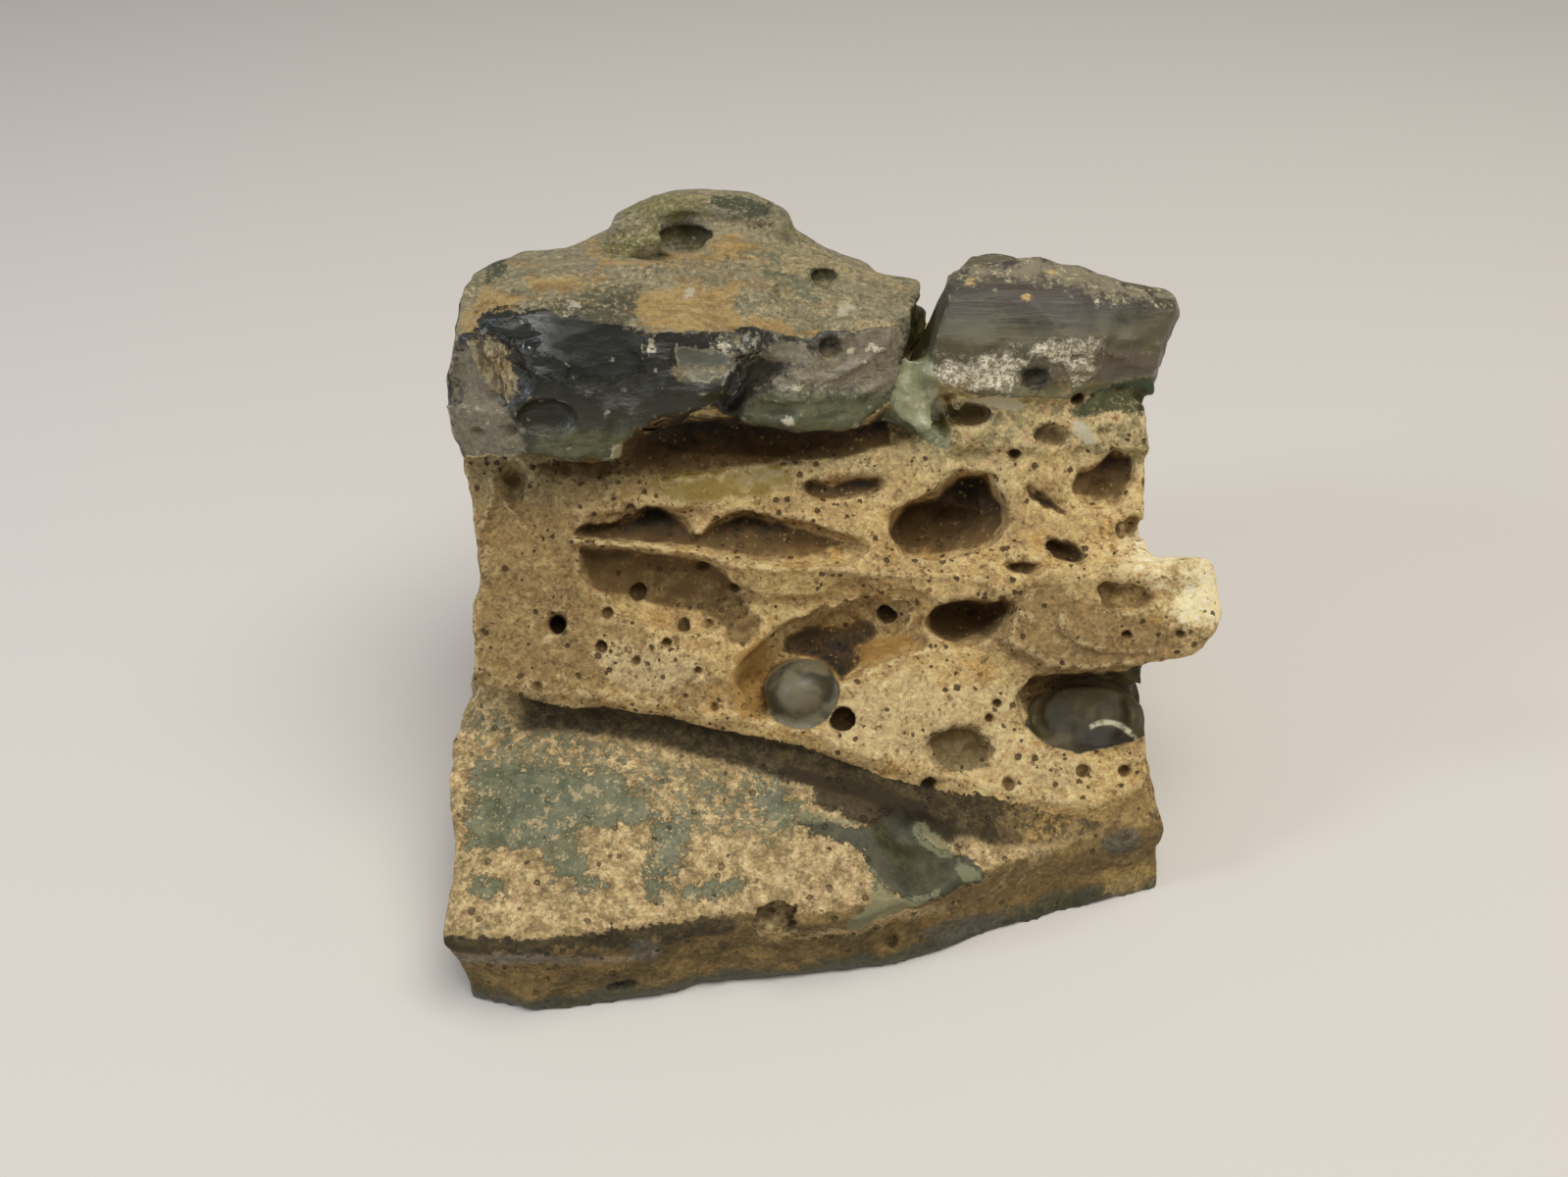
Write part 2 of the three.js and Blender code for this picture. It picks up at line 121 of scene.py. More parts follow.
# Hollows in the frothy face: an outline of (X, Z), the depth at its top and at its bottom, and how
# dark the painted shade and stain are at its top and at its bottom.
HOLLOWS = (
    # the long hollow, with the scalloped upper edge
    (((-32, 49.7), (-29, 51), (-22, 52), (-20.5, 53.2), (-18.5, 53.3), (-14.5, 51.5), (-13.5, 50),
      (-12.5, 49.8), (-10, 51.3), (-6, 52.4), (-2.5, 52), (5, 50), (11, 48.6), (7, 47.8), (3.5, 46.6),
      (-2.5, 46.3), (-8, 47.3), (-16, 48.4), (-26, 49.1)), 5.6, 1.0, 1.0, 0.35),
    # the basin under the thin ridge
    (((-30, 48.6), (-25.5, 48.4), (-20.5, 48), (-15.5, 47.5), (-11, 46.8), (-8.5, 45.5), (-6, 42.5),
      (-3, 39.7), (-3.3, 37.6), (-5, 36), (-8.2, 36.2), (-9, 38.4), (-13, 40), (-19, 41),
      (-27, 42.7), (-29.5, 44.5)), 3.6, 1.4, 0.55, 0.42),
    # the smooth slope over the bead
    (((-2, 37.7), (-2.5, 40), (-2.3, 42.4), (4, 42.2), (8, 44), (12, 44.2), (15, 43.2), (19, 43.5),
      (22, 42.3), (20.6, 39), (21, 36.6), (17.5, 35.6), (13, 34), (8.3, 32), (6, 33), (3, 35),
      (0, 35.5)), 1.0, 4.2, 0.1, 0.55),
    # the bottom of that slope, darkened with painted shade
    (((-0.5, 35), (0, 37.5), (4, 38.7), (9, 38.5), (11.5, 39.6), (14, 39), (13.5, 35.5), (10.3, 33),
      (8.5, 32), (5, 34.6)), 3.4, 4.4, 0.68, 0.9),
    # the big cave
    (((15, 49.9), (18, 53.6), (22.5, 54.4), (24.5, 55.8), (26, 57), (30, 57.2), (30.7, 55.5), (32.4, 53),
      (32.4, 51), (31, 49), (29, 48), (22, 46.9), (17.3, 46.8), (16.3, 48.3)), 7.5, 3.4, 1.0, 0.4),
    # the bean-shaped hole to its lower right
    (((20.9, 40), (21.6, 41.4), (24, 42), (27, 42.1), (29, 41.6), (31, 42), (33, 41.8), (33.3, 40.3),
      (31.4, 38.6), (29.2, 37.4), (26.6, 36.7), (23.6, 37), (21.7, 38)), 5.0, 3.0, 0.75, 0.55),
    # the glassy pocket at the right edge
    (((34.1, 30.5), (36.6, 33), (41.2, 33.2), (46.6, 32.9), (49.4, 33), (50.6, 29), (50.2, 26.4),
      (47.4, 24.5), (42.8, 23.7), (38.3, 24.8), (35.4, 26.9)), 5.5, -0.8, 0.6, 0.0),
    # the shallow round dent under it
    (((20.7, 24), (21.8, 25.9), (25, 26.9), (28.4, 26.5), (30, 24.5), (29.5, 22.3), (26.6, 21.2),
      (22.3, 21.8)), 2.2, 0.9, 0.45, 0.3),
    # the slot left of the cave, the slit and the small cave right of it, and the kidney below them
    (((2.6, 55.8), (4, 56.4), (7, 56), (10.7, 56.8), (14, 56.6), (14.3, 55.4), (12, 54.5), (8.6, 54),
      (5.5, 53.7), (3.2, 54.7)), 4.0, 2.5, 0.9, 0.6),
    (((35, 56.2), (37, 55), (39.3, 53.9), (41.7, 52.6), (41, 51.9), (38.2, 52.8), (35.6, 54.2)),
     3.4, 2.6, 0.95, 0.8),
    (((41.3, 54.6), (42.6, 57.4), (45.1, 57.8), (47.9, 60), (51, 59.2), (50.9, 56), (49, 53),
      (47.6, 52.7), (44.8, 54)), 4.6, 1.6, 0.9, 0.35),
    (((37.3, 48), (38.4, 48.9), (40.6, 49), (42.7, 48.1), (43.6, 46.9), (42.5, 46.1), (40.6, 46.5),
      (39.4, 47.2)), 3.2, 2.2, 0.85, 0.6),
    (((30.6, 46.7), (34, 46.5), (37.3, 46.6), (36.3, 45.5), (33.5, 45)), 2.4, 1.2, 0.8, 0.5),
    # the shallow hollow in the arm
    (((44.3, 43.4), (46.2, 44.4), (49.9, 44.2), (52.8, 42.7), (52.1, 41.2), (48.1, 40.9), (45.5, 41.6)),
     -1.6, -2.6, 0.5, 0.2),
    # the brown hollow between two ribs at the top left
    (((-41.5, 54.5), (-41, 57), (-39.4, 58), (-37.5, 57.4), (-37, 55), (-37.8, 53.2), (-39.5, 53.3)),
     2.2, 0.8, 0.5, 0.25),
    # the undercut below the cap, darkened with painted shade
    (((-37, 58.5), (-28, 59.5), (-21, 62), (-14, 64), (-6, 64), (1, 63), (9, 62.6), (15.5, 64.5),
      (16, 60.6), (9, 58.6), (0, 58.2), (-8, 57.4), (-21, 56.2), (-34, 56.4)), 4.0, 1.2, 1.0, 0.35),
)
# The left and right ends of the thin plate along the cap's crest: the X where it starts and is full.
PLATE_LEFT, PLATE_RIGHT = (-26.0, -24.6), (1.5, 0.2)
# Where the frothy face stands out: an outline of (X, Z), how far it stands out at least at its top
# and at its bottom, and how far at most.
SHELVES = (
    # under the block
    (((23.5, 59.5), (23.5, 67), (30, 68.2), (46, 67.6), (52.5, 66), (53.5, 59.5)), 1.8, 0.3, 9.0),
    # the arm that ends in a blunt nub
    (((31, 37), (34, 42), (37, 45.6), (44, 48), (51.7, 47.8), (57, 47), (60.8, 46.6), (61.8, 44.9),
      (61.8, 42), (61.2, 38.2), (59, 36), (56.5, 35.4), (52.7, 34.3), (46, 33.4), (38, 33.8)), 2.6, 3.6, 4.6),
)
# The blunt end of the arm: its outline as (X, Z), and how far out its back and its front lie.
NUB = (((51, 46.4), (57, 47.2), (60.4, 47), (61.6, 45.2), (61.9, 42), (61.3, 38.8), (59, 36.6), (56.3, 35.8),
        (51, 35.4)), -6.5, 4.4)
# Ridges and grooves on the frothy face: a line of (X, Z), its half width and its height.
STROKES = (
    (((-31, 49), (-24, 48.6), (-16, 47.9), (-9, 46.9), (-2, 45.6), (5, 46), (12, 45.2), (20, 45),
      (28, 44.6), (33, 42.6)), 0.9, 0.9),
    (((-46, 34), (-36, 31.4), (-24, 30.4), (-12, 28.6), (0, 27), (12, 23.4), (24, 20.8), (36, 18.8),
      (46, 17.4)), 1.5, 0.7),
    (((-42.3, 57), (-42.4, 54), (-43, 52), (-43.6, 50.6)), 0.8, 1.3),
    (((-40.8, 56), (-40.2, 53.6), (-38, 51), (-36.4, 49.4)), 0.7, 1.0),
    (((8.3, 31.6), (13, 33.6), (17.5, 35.2), (21.6, 36.2), (27, 36)), 0.9, 0.5),
    (((31, 47.6), (32, 44.6), (33.6, 42)), 0.9, -1.2),
    (((37, 46), (44, 45), (51, 45.4), (58, 45)), 2.4, 0.9),
)
# Ridges and grooves on the front of the cap.
FOLDS = (
    (((-40.8, 80), (-38.6, 76), (-36.6, 72), (-36, 69)), 0.9, 1.1),
    (((-42.6, 79), (-40.8, 75), (-39, 71)), 0.8, 0.9),
    (((-39.2, 78.6), (-37.6, 74.6), (-36.6, 71)), 0.6, -0.9),
    (((-20, 77.6), (-17, 79.2), (-13, 79.4), (-8, 78.6), (-5, 77)), 0.5, 0.8),
    (((-20, 77.6), (-16.4, 72.4), (-11, 71.6), (-6, 74)), 0.5, 0.6),
    (((0, 73), (6, 71.6), (12, 73.4), (15, 76)), 0.6, 0.7),
    (((-3, 69), (4, 69.4), (11, 68.6), (14, 70)), 0.6, 0.7),
    (((-34, 79), (-27, 76), (-24, 71), (-25, 66)), 0.8, 0.8),
)
# Round holes that stand out. First on the frothy face, as X, Z and two radii, and then elsewhere, as
# X and Z on the upright sheet, three radii, and how far the hole's centre lies behind the surface.
BURSTS = (
    (-33.0, 39.1, 1.6, 1.9), (-21.1, 43.0, 1.4, 1.2), (-14.5, 38.8, 0.9, 1.3), (-10.9, 39.1, 0.8, 0.6),
    (-5.8, 40.6, 0.7, 0.8), (-11.7, 46.0, 1.2, 0.9), (-30.3, 41.6, 0.55, 0.7), (18.5, 34.3, 0.6, 0.6),
    (49.8, 37.8, 1.0, 0.6), (57.6, 37.9, 0.9, 0.6), (40.8, 37.7, 0.5, 0.6), (34.2, 32.2, 1.2, 0.6),
    (15.1, 40.5, 1.7, 1.1), (33.4, 59.5, 1.0, 0.9), (-21.5, 34.6, 0.8, 0.8),
    (-26.5, 36.4, 1.0, 0.8), (-17.0, 36.8, 0.9, 0.7), (-12.5, 33.5, 0.7, 0.7), (-36.0, 31.6, 0.8, 0.7),
    (36.5, 27.5, 0.7, 0.8), (31.0, 29.6, 0.8, 0.7), (30.2, 26.6, 0.8, 0.7),
    (48.0, 47.4, 0.6, 0.5), (-25.6, 40.4, 0.9, 0.8), (-34.6, 36.2, 0.6, 0.5), (48.8, 50.3, 0.9, 1.3),
    (24.0, 30.0, 0.6, 0.6), (13.0, 29.2, 0.5, 0.6), (4.0, 24.6, 0.5, 0.5), (53.0, 37.9, 0.6, 0.5),
)
HOLES = (
    (9.2, 18.5, (2.9, 2.2, 2.8), -0.9),
    (30.7, 12.2, (2.6, 2.0, 2.4), -0.9),
    (-31.4, 71.8, (4.6, 3.0, 3.1), -0.9),
    (-38.0, 75.1, (1.8, 1.2, 1.2), 0.2),
    (-36.2, 70.2, (0.9, 1.0, 1.2), 0.2),
    (-40.7, 70.1, (1.2, 1.0, 0.8), 0.2),
    (5.9, 82.6, (1.9, 1.6, 1.5), 0.2),
    (-10.3, 80.6, (5.2, 3.0, 3.4), -1.0),
    (4.9, 92.3, (2.4, 1.8, 1.0), 0.3),
    (-20.4, 95.9, (3.8, 2.6, 1.4), 0.2),
    (-11.9, 97.2, (4.4, 3.0, 2.0), 0.5),
    (23.9, 72.9, (4.0, 2.4, 1.7), 0.6),
    (32.6, 78.4, (2.2, 1.4, 1.2), 0.3),
    (37.7, 81.1, (1.6, 1.2, 0.8), 0.1),
    (35.6, 69.6, (2.8, 1.8, 1.7), 0.4),
    (-1.3, -28.4, (4.4, 2.6, 2.8), 0.6),
    (-29.6, -47.6, (2.4, 1.4, 1.0), 0.2),
    (19.3, -34.6, (1.2, 1.0, 1.0), 0.1),
)
# Burst bubbles on the back and the ends: the place FAR out from which each is seated, and three radii.
FAR = 200.0
FAR_HOLES = (
    ((-27, FAR, 50), (6.4, 3.6, 3.4)), ((-8, FAR, 40), (5.0, 3.4, 3.8)), ((14, FAR, 51), (6.8, 4.0, 3.2)),
    ((33, FAR, 37), (5.6, 3.4, 3.0)), ((-34, FAR, 32), (3.6, 2.6, 2.4)), ((7, FAR, 28), (4.2, 2.8, 2.0)),
    ((39, FAR, 54), (3.6, 3.0, 3.2)), ((22, FAR, 24), (2.6, 2.0, 1.6)),
    ((-FAR, 74, 50), (3.2, 5.4, 3.0)), ((-FAR, 58, 42), (2.8, 4.4, 2.8)), ((-FAR, 78, 30), (2.4, 3.6, 2.4)),
    ((-FAR, 48, 30), (2.0, 2.6, 1.8)),
    ((FAR, 76, 52), (3.4, 5.6, 3.2)), ((FAR, 62, 36), (3.0, 4.6, 3.4)), ((FAR, 82, 32), (2.6, 4.0, 2.6)),
    ((FAR, 58, 55), (2.2, 3.2, 2.0)),
)
# How the small bubbles and the rim's chips are scattered, and how many chips there are.
BUBBLE_SEED, CHIP_SEED, CHIPS = 12, 4, 40
# What is pushed back in the cap's front: an outline on the sheet, and how far.
NOTCHES = (
    (((-6.5, 81), (-2.9, 81), (2.2, 80), (-1.2, 77.8), (-4, 75.8), (-7.4, 71.8), (-9, 73), (-6.6, 77)), 2.4),
    (((-15.2, 96.5), (-14.6, 99), (-11.8, 99.5), (-9.1, 97.1), (-9.8, 95.8), (-12, 95.2)), 1.2),
)


# ---------------------------------------------------------------- numbers over the surface


def smooth_step(low, high, value):
    """0 below low, 1 above high, and a smooth rise between them."""
    t = np.clip((value - low) / (high - low), 0.0, 1.0)
    return t * t * (3.0 - 2.0 * t)


def scatter(cell, seed):
    """A number from 0 to 1 for each whole-numbered cell, the same on every run."""
    c = cell.astype(np.int64).astype(np.uint32)
    h = c[:, 0] * np.uint32(374761393) + c[:, 1] * np.uint32(668265263)
    h += c[:, 2] * np.uint32(2246822519) + np.uint32(seed * 3266489917 % 2**32)
    h = (h ^ (h >> np.uint32(13))) * np.uint32(1274126177)
    h = (h ^ (h >> np.uint32(15))) * np.uint32(2654435761)
    return (h ^ (h >> np.uint32(16))) / 2**32


def noise(points, size, seed=0, octaves=1):
    """Smooth noise from -1 to 1, with bumps about size millimetres across."""
    total = np.zeros(len(points))
    for octave in range(octaves):
        at = points / size * 2**octave + 31.7 * seed
        cell = np.floor(at)
        t = at - cell
        t = t * t * (3.0 - 2.0 * t)
        for corner in product((0, 1), repeat=3):
            share = np.prod(np.where(corner, t, 1.0 - t), axis=1)
            total += share * (2.0 * scatter(cell + corner, seed + octave) - 1.0) / 2**octave
    return total / (2.0 - 0.5 ** (octaves - 1))


def cells(points, size, seed=0):
    """Distance to the nearest of scattered points, in sizes, and that point's own number."""
    at = points / size
    home = np.floor(at)
    first = np.full(len(points), 9.0)
    own = np.zeros(len(points))
    for offset in product((-1, 0, 1), repeat=3):
        cell = home + offset
        centre = cell + np.stack([scatter(cell, seed + k) for k in (1, 2, 3)], axis=1)
        distance = np.linalg.norm(centre - at, axis=1)
        own = np.where(distance < first, scatter(cell, seed), own)
        first = np.minimum(first, distance)
    return first, own


def distance_to_line(flat, line):
    """Each point's distance to a line of straight stretches, in two dimensions."""
    nearest = np.full(len(flat), 1e9)
    for a, b in zip(np.array(line[:-1], float), np.array(line[1:], float)):
        along = np.clip((flat - a) @ (b - a) / ((b - a) @ (b - a)), 0.0, 1.0)
        nearest = np.minimum(nearest, np.linalg.norm(flat - a - along[:, None] * (b - a), axis=1))
    return nearest


def raised_by(strokes, flat):
    """How far ridges and grooves raise each point."""
    return sum(
        height * smooth_step(width, 0.0, distance_to_line(flat, line)) for line, width, height in strokes)


def depth_inside(flat, outline):
    """How far inside an outline each point lies, and below 0 how far outside."""
    closed = (*outline, outline[0])
    inside = np.zeros(len(flat), bool)
    for (ax, az), (bx, bz) in zip(closed[:-1], closed[1:]):
        crosses = (flat[:, 1] < az) != (flat[:, 1] < bz)
        at = ax + (flat[:, 1] - az) / (bz - az if bz != az else 1e-9) * (bx - ax)
        inside ^= crosses & (flat[:, 0] < at)
    return distance_to_line(flat, closed) * np.where(inside, 1.0, -1.0)


def along(x, line):
    """The second number of a line of pairs, at each X."""
    return np.interp(x, *np.array(line, float).T)


def up_along(flat, outline, bottom, top):
    """A number that goes from bottom to top with the height inside an outline."""
    heights = np.array(outline)[:, 1]
    up = np.clip((flat[:, 1] - heights.min()) / np.ptp(heights), 0, 1)
    return bottom + (top - bottom) * up


def out_of_face(points):
    """How far each point stands out from the leaning frothy face."""
    return (FACE_FOOT + FACE_LEAN * points[:, 2] - points[:, 1]) * -FACE_OUT[1]


def seen_on_face(points):
    """Each point's (X, Z) once it is pushed straight onto the leaning frothy face."""
    return np.stack([points[:, 0], points[:, 2] - FACE_OUT[2] * out_of_face(points)], axis=1)


def seen_on_sheet(points):
    """Where each point shows from the eye, as (X, Z) on an upright sheet."""
    share = (SHEET_BACK - EYE[1]) / (points[:, 1] - EYE[1])
    shown = EYE + (points - EYE) * share[:, None]
    return shown[:, (0, 2)]


def from_eye(points):
    """The way from the eye to each point, one unit long."""
    return (points - EYE) / np.linalg.norm(points - EYE, axis=1)[:, None]


def inside(points, places):
    """How far inside the nearest of some ellipsoids each point lies, and below 0 how far outside."""
    depths = [
        (1.0 - np.linalg.norm((points - np.array(centre)) / np.array(size), axis=1)) * min(size)
        for centre, size in places
    ]
    return np.max(depths, axis=0)


# ---------------------------------------------------------------- meshes and modifiers


def read_points(mesh):
    """The mesh's points in millimetres from the foot's front corner."""
    flat = np.empty(len(mesh.vertices) * 3, np.float32)
    mesh.vertices.foreach_get("co", flat)
    return (flat.reshape(-1, 3) - CORNER) / MM


def write_points(mesh, points):
    mesh.vertices.foreach_set("co", (points * MM + CORNER).astype(np.float32).ravel())
    mesh.update()


def read_surface(piece):
    """The piece's points and normals, and each point's share of being cap, block or wedge."""
    points = read_points(piece.data)
    return points, read_normals(piece.data), *layers(points)


def read_normals(mesh):
    flat = np.empty(len(mesh.vertices) * 3, np.float32)
    mesh.vertices.foreach_get("normal", flat)
    return flat.reshape(-1, 3).astype(float)


def read_faces(mesh):
    """Each face's centre in millimetres, its normal and its area."""
    centres, normals = np.empty(len(mesh.polygons) * 3), np.empty(len(mesh.polygons) * 3)
    areas = np.empty(len(mesh.polygons))
    mesh.polygons.foreach_get("center", centres)
    mesh.polygons.foreach_get("normal", normals)
    mesh.polygons.foreach_get("area", areas)
    return (centres.reshape(-1, 3) - CORNER) / MM, normals.reshape(-1, 3), areas


def use_only(piece):
    """Selects one object and makes it the active one."""
    bpy.ops.object.select_all(action="DESELECT")
    piece.select_set(True)
    bpy.context.view_layer.objects.active = piece


def edit_mode(select="SELECT"):
    """Goes into edit mode with everything selected, or with nothing."""
    bpy.ops.object.mode_set(mode="EDIT")
    bpy.ops.mesh.select_all(action=select)


def apply_modifier(piece, kind, **settings):
    """Puts a modifier on the piece, sets it and applies it."""
    modifier = piece.modifiers.new(kind, kind)
    for name, value in settings.items():
        setattr(modifier, name, value)
    use_only(piece)
    bpy.ops.object.modifier_apply(modifier=modifier.name)


def weigh(piece, name, weights):
    """Stores a weight from 0 to 1 for each point as a vertex group."""
    group = piece.vertex_groups.get(name) or piece.vertex_groups.new(name=name)
    for index, weight in enumerate(weights.tolist()):
        group.add([index], weight, "REPLACE")


def store(mesh, name, values):
    """Keeps a number for each point as an attribute that materials can read."""
    layer = mesh.attributes.new(name, "FLOAT", "POINT")
    layer.data.foreach_set("value", values.astype(np.float32))


# ---------------------------------------------------------------- layers of the chunk

# The round glassy bead in the froth, as a centre and half sizes, and the glass in the pocket at the
# right edge, as an outline of (X, Z).
BEAD = (on_face(2.4, 31.0, -0.5), (5.7, 6.0, 5.1))
POCKET_GLASS = ((35, 26.8), (37.5, 29.6), (42, 31.4), (47, 32.6), (52, 34.4), (55.5, 33), (54.4, 26),
                (47.4, 24.3), (42.8, 23.5), (38.3, 24.6))
# The tip of glass that ran down between the cap and the block, as (X, Z) on the upright sheet.
DRIP = ((12.6, 72.2), (13.8, 74.4), (14.5, 77.3), (15.2, 81), (17.1, 82.8), (19.1, 81), (20, 76.3),
        (21.2, 72.9), (22.4, 68.8), (21.8, 67.4), (19.8, 68.1), (17.7, 69.5), (15.1, 70.7))


def layers(points):
    """Each point's share, from 0 to 1, of being cap, block or wedge. What is left is froth."""
    x, y, z = points.T
    ragged = noise(points, 5.0, seed=11, octaves=2)
    behind = smooth_step(BACK_START, BACK_END, y)
    foot = along(x, CAP_FOOT) + 0.9 * ragged
    foot = foot * (1 - behind) + (BACK_FOOT + 3.0 * ragged) * behind
    above = smooth_step(-0.6, 0.6, z - foot)
    clear = np.maximum(smooth_step(0.8, 1.6, out_of_face(points)), smooth_step(2.0, 3.0, z - foot))
    glass = above * clear
    split = smooth_step(-0.5, 0.5, x - CRACK - CRACK_LEAN * (z - CRACK_HEIGHT))
    reach = np.where(y > FACE_END, BACK_LIP + 4 * ragged, along(x, LIP) - 0.8 + 0.5 * ragged)
    wedge = smooth_step(0.5, -0.5, z - reach)
    return glass * (1 - split), glass * split, wedge * (1 - glass)


def glassy(points):
    """How far inside the glassy beads in the froth each point lies, and below 0 how far outside."""
    return np.maximum(inside(points, (BEAD,)), depth_inside(seen_on_face(points), POCKET_GLASS))


def outside_bead(points):
    """0 on the round bead and 1 elsewhere."""
    return smooth_step(0.4, -0.4, inside(points, (BEAD,)))


# ---------------------------------------------------------------- the chunk's shape


def copied_node():
    """A copy of the frame's solid, with its loose triangles merged."""
    use_only(frame["nodes"][NODE])
    bpy.ops.object.duplicate()
    piece = bpy.context.active_object
    piece.parent = None
    for key in list(piece.keys()):
        del piece[key]
    piece.name = piece.data.name = PIECE
    edit_mode()
    bpy.ops.mesh.remove_doubles(threshold=1e-6)
    bpy.ops.object.mode_set(mode="OBJECT")
    return piece


def add_nub(piece, sizes):
    """Joins a blunt block with rounded edges onto the end of the arm."""
    outline, back, front = NUB
    count = len(outline)
    points = np.array([on_face(x, z, out) for out in (back, front) for x, z in outline])
    sides = [(i, (i + 1) % count, (i + 1) % count + count, i + count) for i in range(count)]
    mesh = bpy.data.meshes.new("nub")
    ends = [tuple(range(count)), tuple(range(count, 2 * count))]
    mesh.from_pydata((points * MM + CORNER).tolist(), [], sides + ends)
    block = bpy.data.objects.new("nub", mesh)
    bpy.context.collection.objects.link(block)
    use_only(block)
    edit_mode()
    bpy.ops.mesh.normals_make_consistent(inside=False)
    bpy.ops.object.mode_set(mode="OBJECT")
    apply_modifier(block, "REMESH", mode="VOXEL", voxel_size=sizes.rough_step)
    apply_modifier(block, "SMOOTH", factor=0.6, iterations=5)
    apply_modifier(piece, "BOOLEAN", operation="UNION", object=block, solver="MANIFOLD")
    bpy.data.objects.remove(block)


def sharp_edges(mesh, angle, spacing=0.7):
    """Points along the edges where the solid's faces turn by more than the angle."""
    points = read_points(mesh)
    faces = {}
    for face in mesh.polygons:
        for edge in face.edge_keys:
            faces.setdefault(edge, []).append(face.normal)
    found = []
    for (a, b), normals in faces.items():
        if len(normals) == 2 and normals[0].angle(normals[1], 0.0) > angle:
            steps = max(2, int(np.linalg.norm(points[b] - points[a]) / spacing))
            found += [points[a] + (points[b] - points[a]) * t for t in np.linspace(0, 1, steps)]
    return found


def soften(piece, sizes):
    """Rounds off the solid's facets and keeps its true edges."""
    edges = sharp_edges(piece.data, sizes.edge_angle)
    tree = KDTree(len(edges))
    for index, point in enumerate(edges):
        tree.insert(point, index)
    tree.balance()
    apply_modifier(piece, "REMESH", mode="VOXEL", voxel_size=sizes.rough_step)
    points = read_points(piece.data)
    distance = np.array([tree.find(point)[2] for point in points])
    cap, block, wedge = layers(points)
    smooth = 0.4 + 0.6 * np.clip(cap + block + wedge, 0, 1)
    held = (0.92 - 0.6 * wedge) * smooth_step(2.6, 0.5, distance)
    loose = smooth * (1 - held) * smooth_step(0.05, 1.2, points[:, 2])
    weigh(piece, "loose", loose)
    apply_modifier(piece, "SMOOTH", factor=0.6, iterations=sizes.rounds, vertex_group="loose")


def grounded(points):
    """0 on the underside that the chunk rests on and 1 a little above it."""
    return smooth_step(0.1, 1.8, points[:, 2])


def shape_froth(piece):
    """Raises the frothy face's shelves and ridges, and sinks its hollows."""
    points, normals, cap, block, _ = read_surface(piece)
    wobble = np.stack([noise(points, 2.2, 61, 2), noise(points, 2.2, 62, 2)], axis=1)
    flat = seen_on_face(points) + 0.5 * wobble + 0.22 * noise(points, 0.9, 66)[:, None]
    out = out_of_face(points)
    near = smooth_step(11, 9, np.abs(out)) * (1 - np.clip(cap + block, 0, 1)) * outside_bead(points)
    now = out.copy()
    for outline, top, bottom, most in SHELVES:
        least = up_along(flat, outline, bottom, top) + 0.5 * noise(points, 7, 63, 2)
        facing = normals @ FACE_OUT
        front = smooth_step(-5, -3.5, out) * smooth_step(-0.6, -0.3, facing)
        front = np.maximum(smooth_step(-0.1, 0.3, facing), front) * near
        level = np.clip(now, least, most + 0.5 * noise(points, 7, 64, 2) + 0.4 * noise(points, 2.6, 67))
        now += (level - now) * smooth_step(-0.4, 0.8, depth_inside(flat, outline)) * front
    for outline, top, bottom, _, _ in HOLLOWS:
        floor = np.minimum(now, -up_along(flat, outline, bottom, top))
        now += (floor - now) * smooth_step(-0.1, 0.4, depth_inside(flat, outline)) * near
    swollen = 1.8 * smooth_step(-0.2, 2.0, depth_inside(seen_on_sheet(points), DRIP))
    now += swollen * near * smooth_step(66, 62, points[:, 2])
    now += raised_by(STROKES, flat) * near
    points += FACE_OUT * (now - out)[:, None]
    write_points(piece.data, points)


def shape_cap(piece, sizes):
    """Leaves a thin plate standing along the cap's crest, and folds and notches the cap's front."""
    points, normals, cap, _, _ = read_surface(piece)
    x, y, z = points.T
    plate = smooth_step(*PLATE_LEFT, x) * smooth_step(*PLATE_RIGHT, x)
    plate *= smooth_step(72.6, 73.3, y + 0.08 * np.abs(x + 12) + noise(points, 3, 71, 2))
    lowered = cap * (1 - plate) * smooth_step(66, 71, y) * smooth_step(70, 80, z)
    front = cap * smooth_step(0.1, 0.6, -normals[:, 1])
    flat = points[:, (0, 2)] + 0.4 * noise(points, 2.5, 73, 2)[:, None]
    fold = raised_by(FOLDS, flat)
    points[:, 2] -= sizes.plate_step / MM * lowered
    points[:, 1] -= fold * front
    away = from_eye(points)
    shown = seen_on_sheet(points) + 0.4 * noise(points, 2.0, 75, 2)[:, None]
    seen = cap * smooth_step(0.05, 0.3, -np.einsum("ij,ij->i", normals, away))
    for outline, back in NOTCHES:
        points += away * (back * smooth_step(-0.5, 1.9, depth_inside(shown, outline)) * seen)[:, None]
    write_points(piece.data, points)


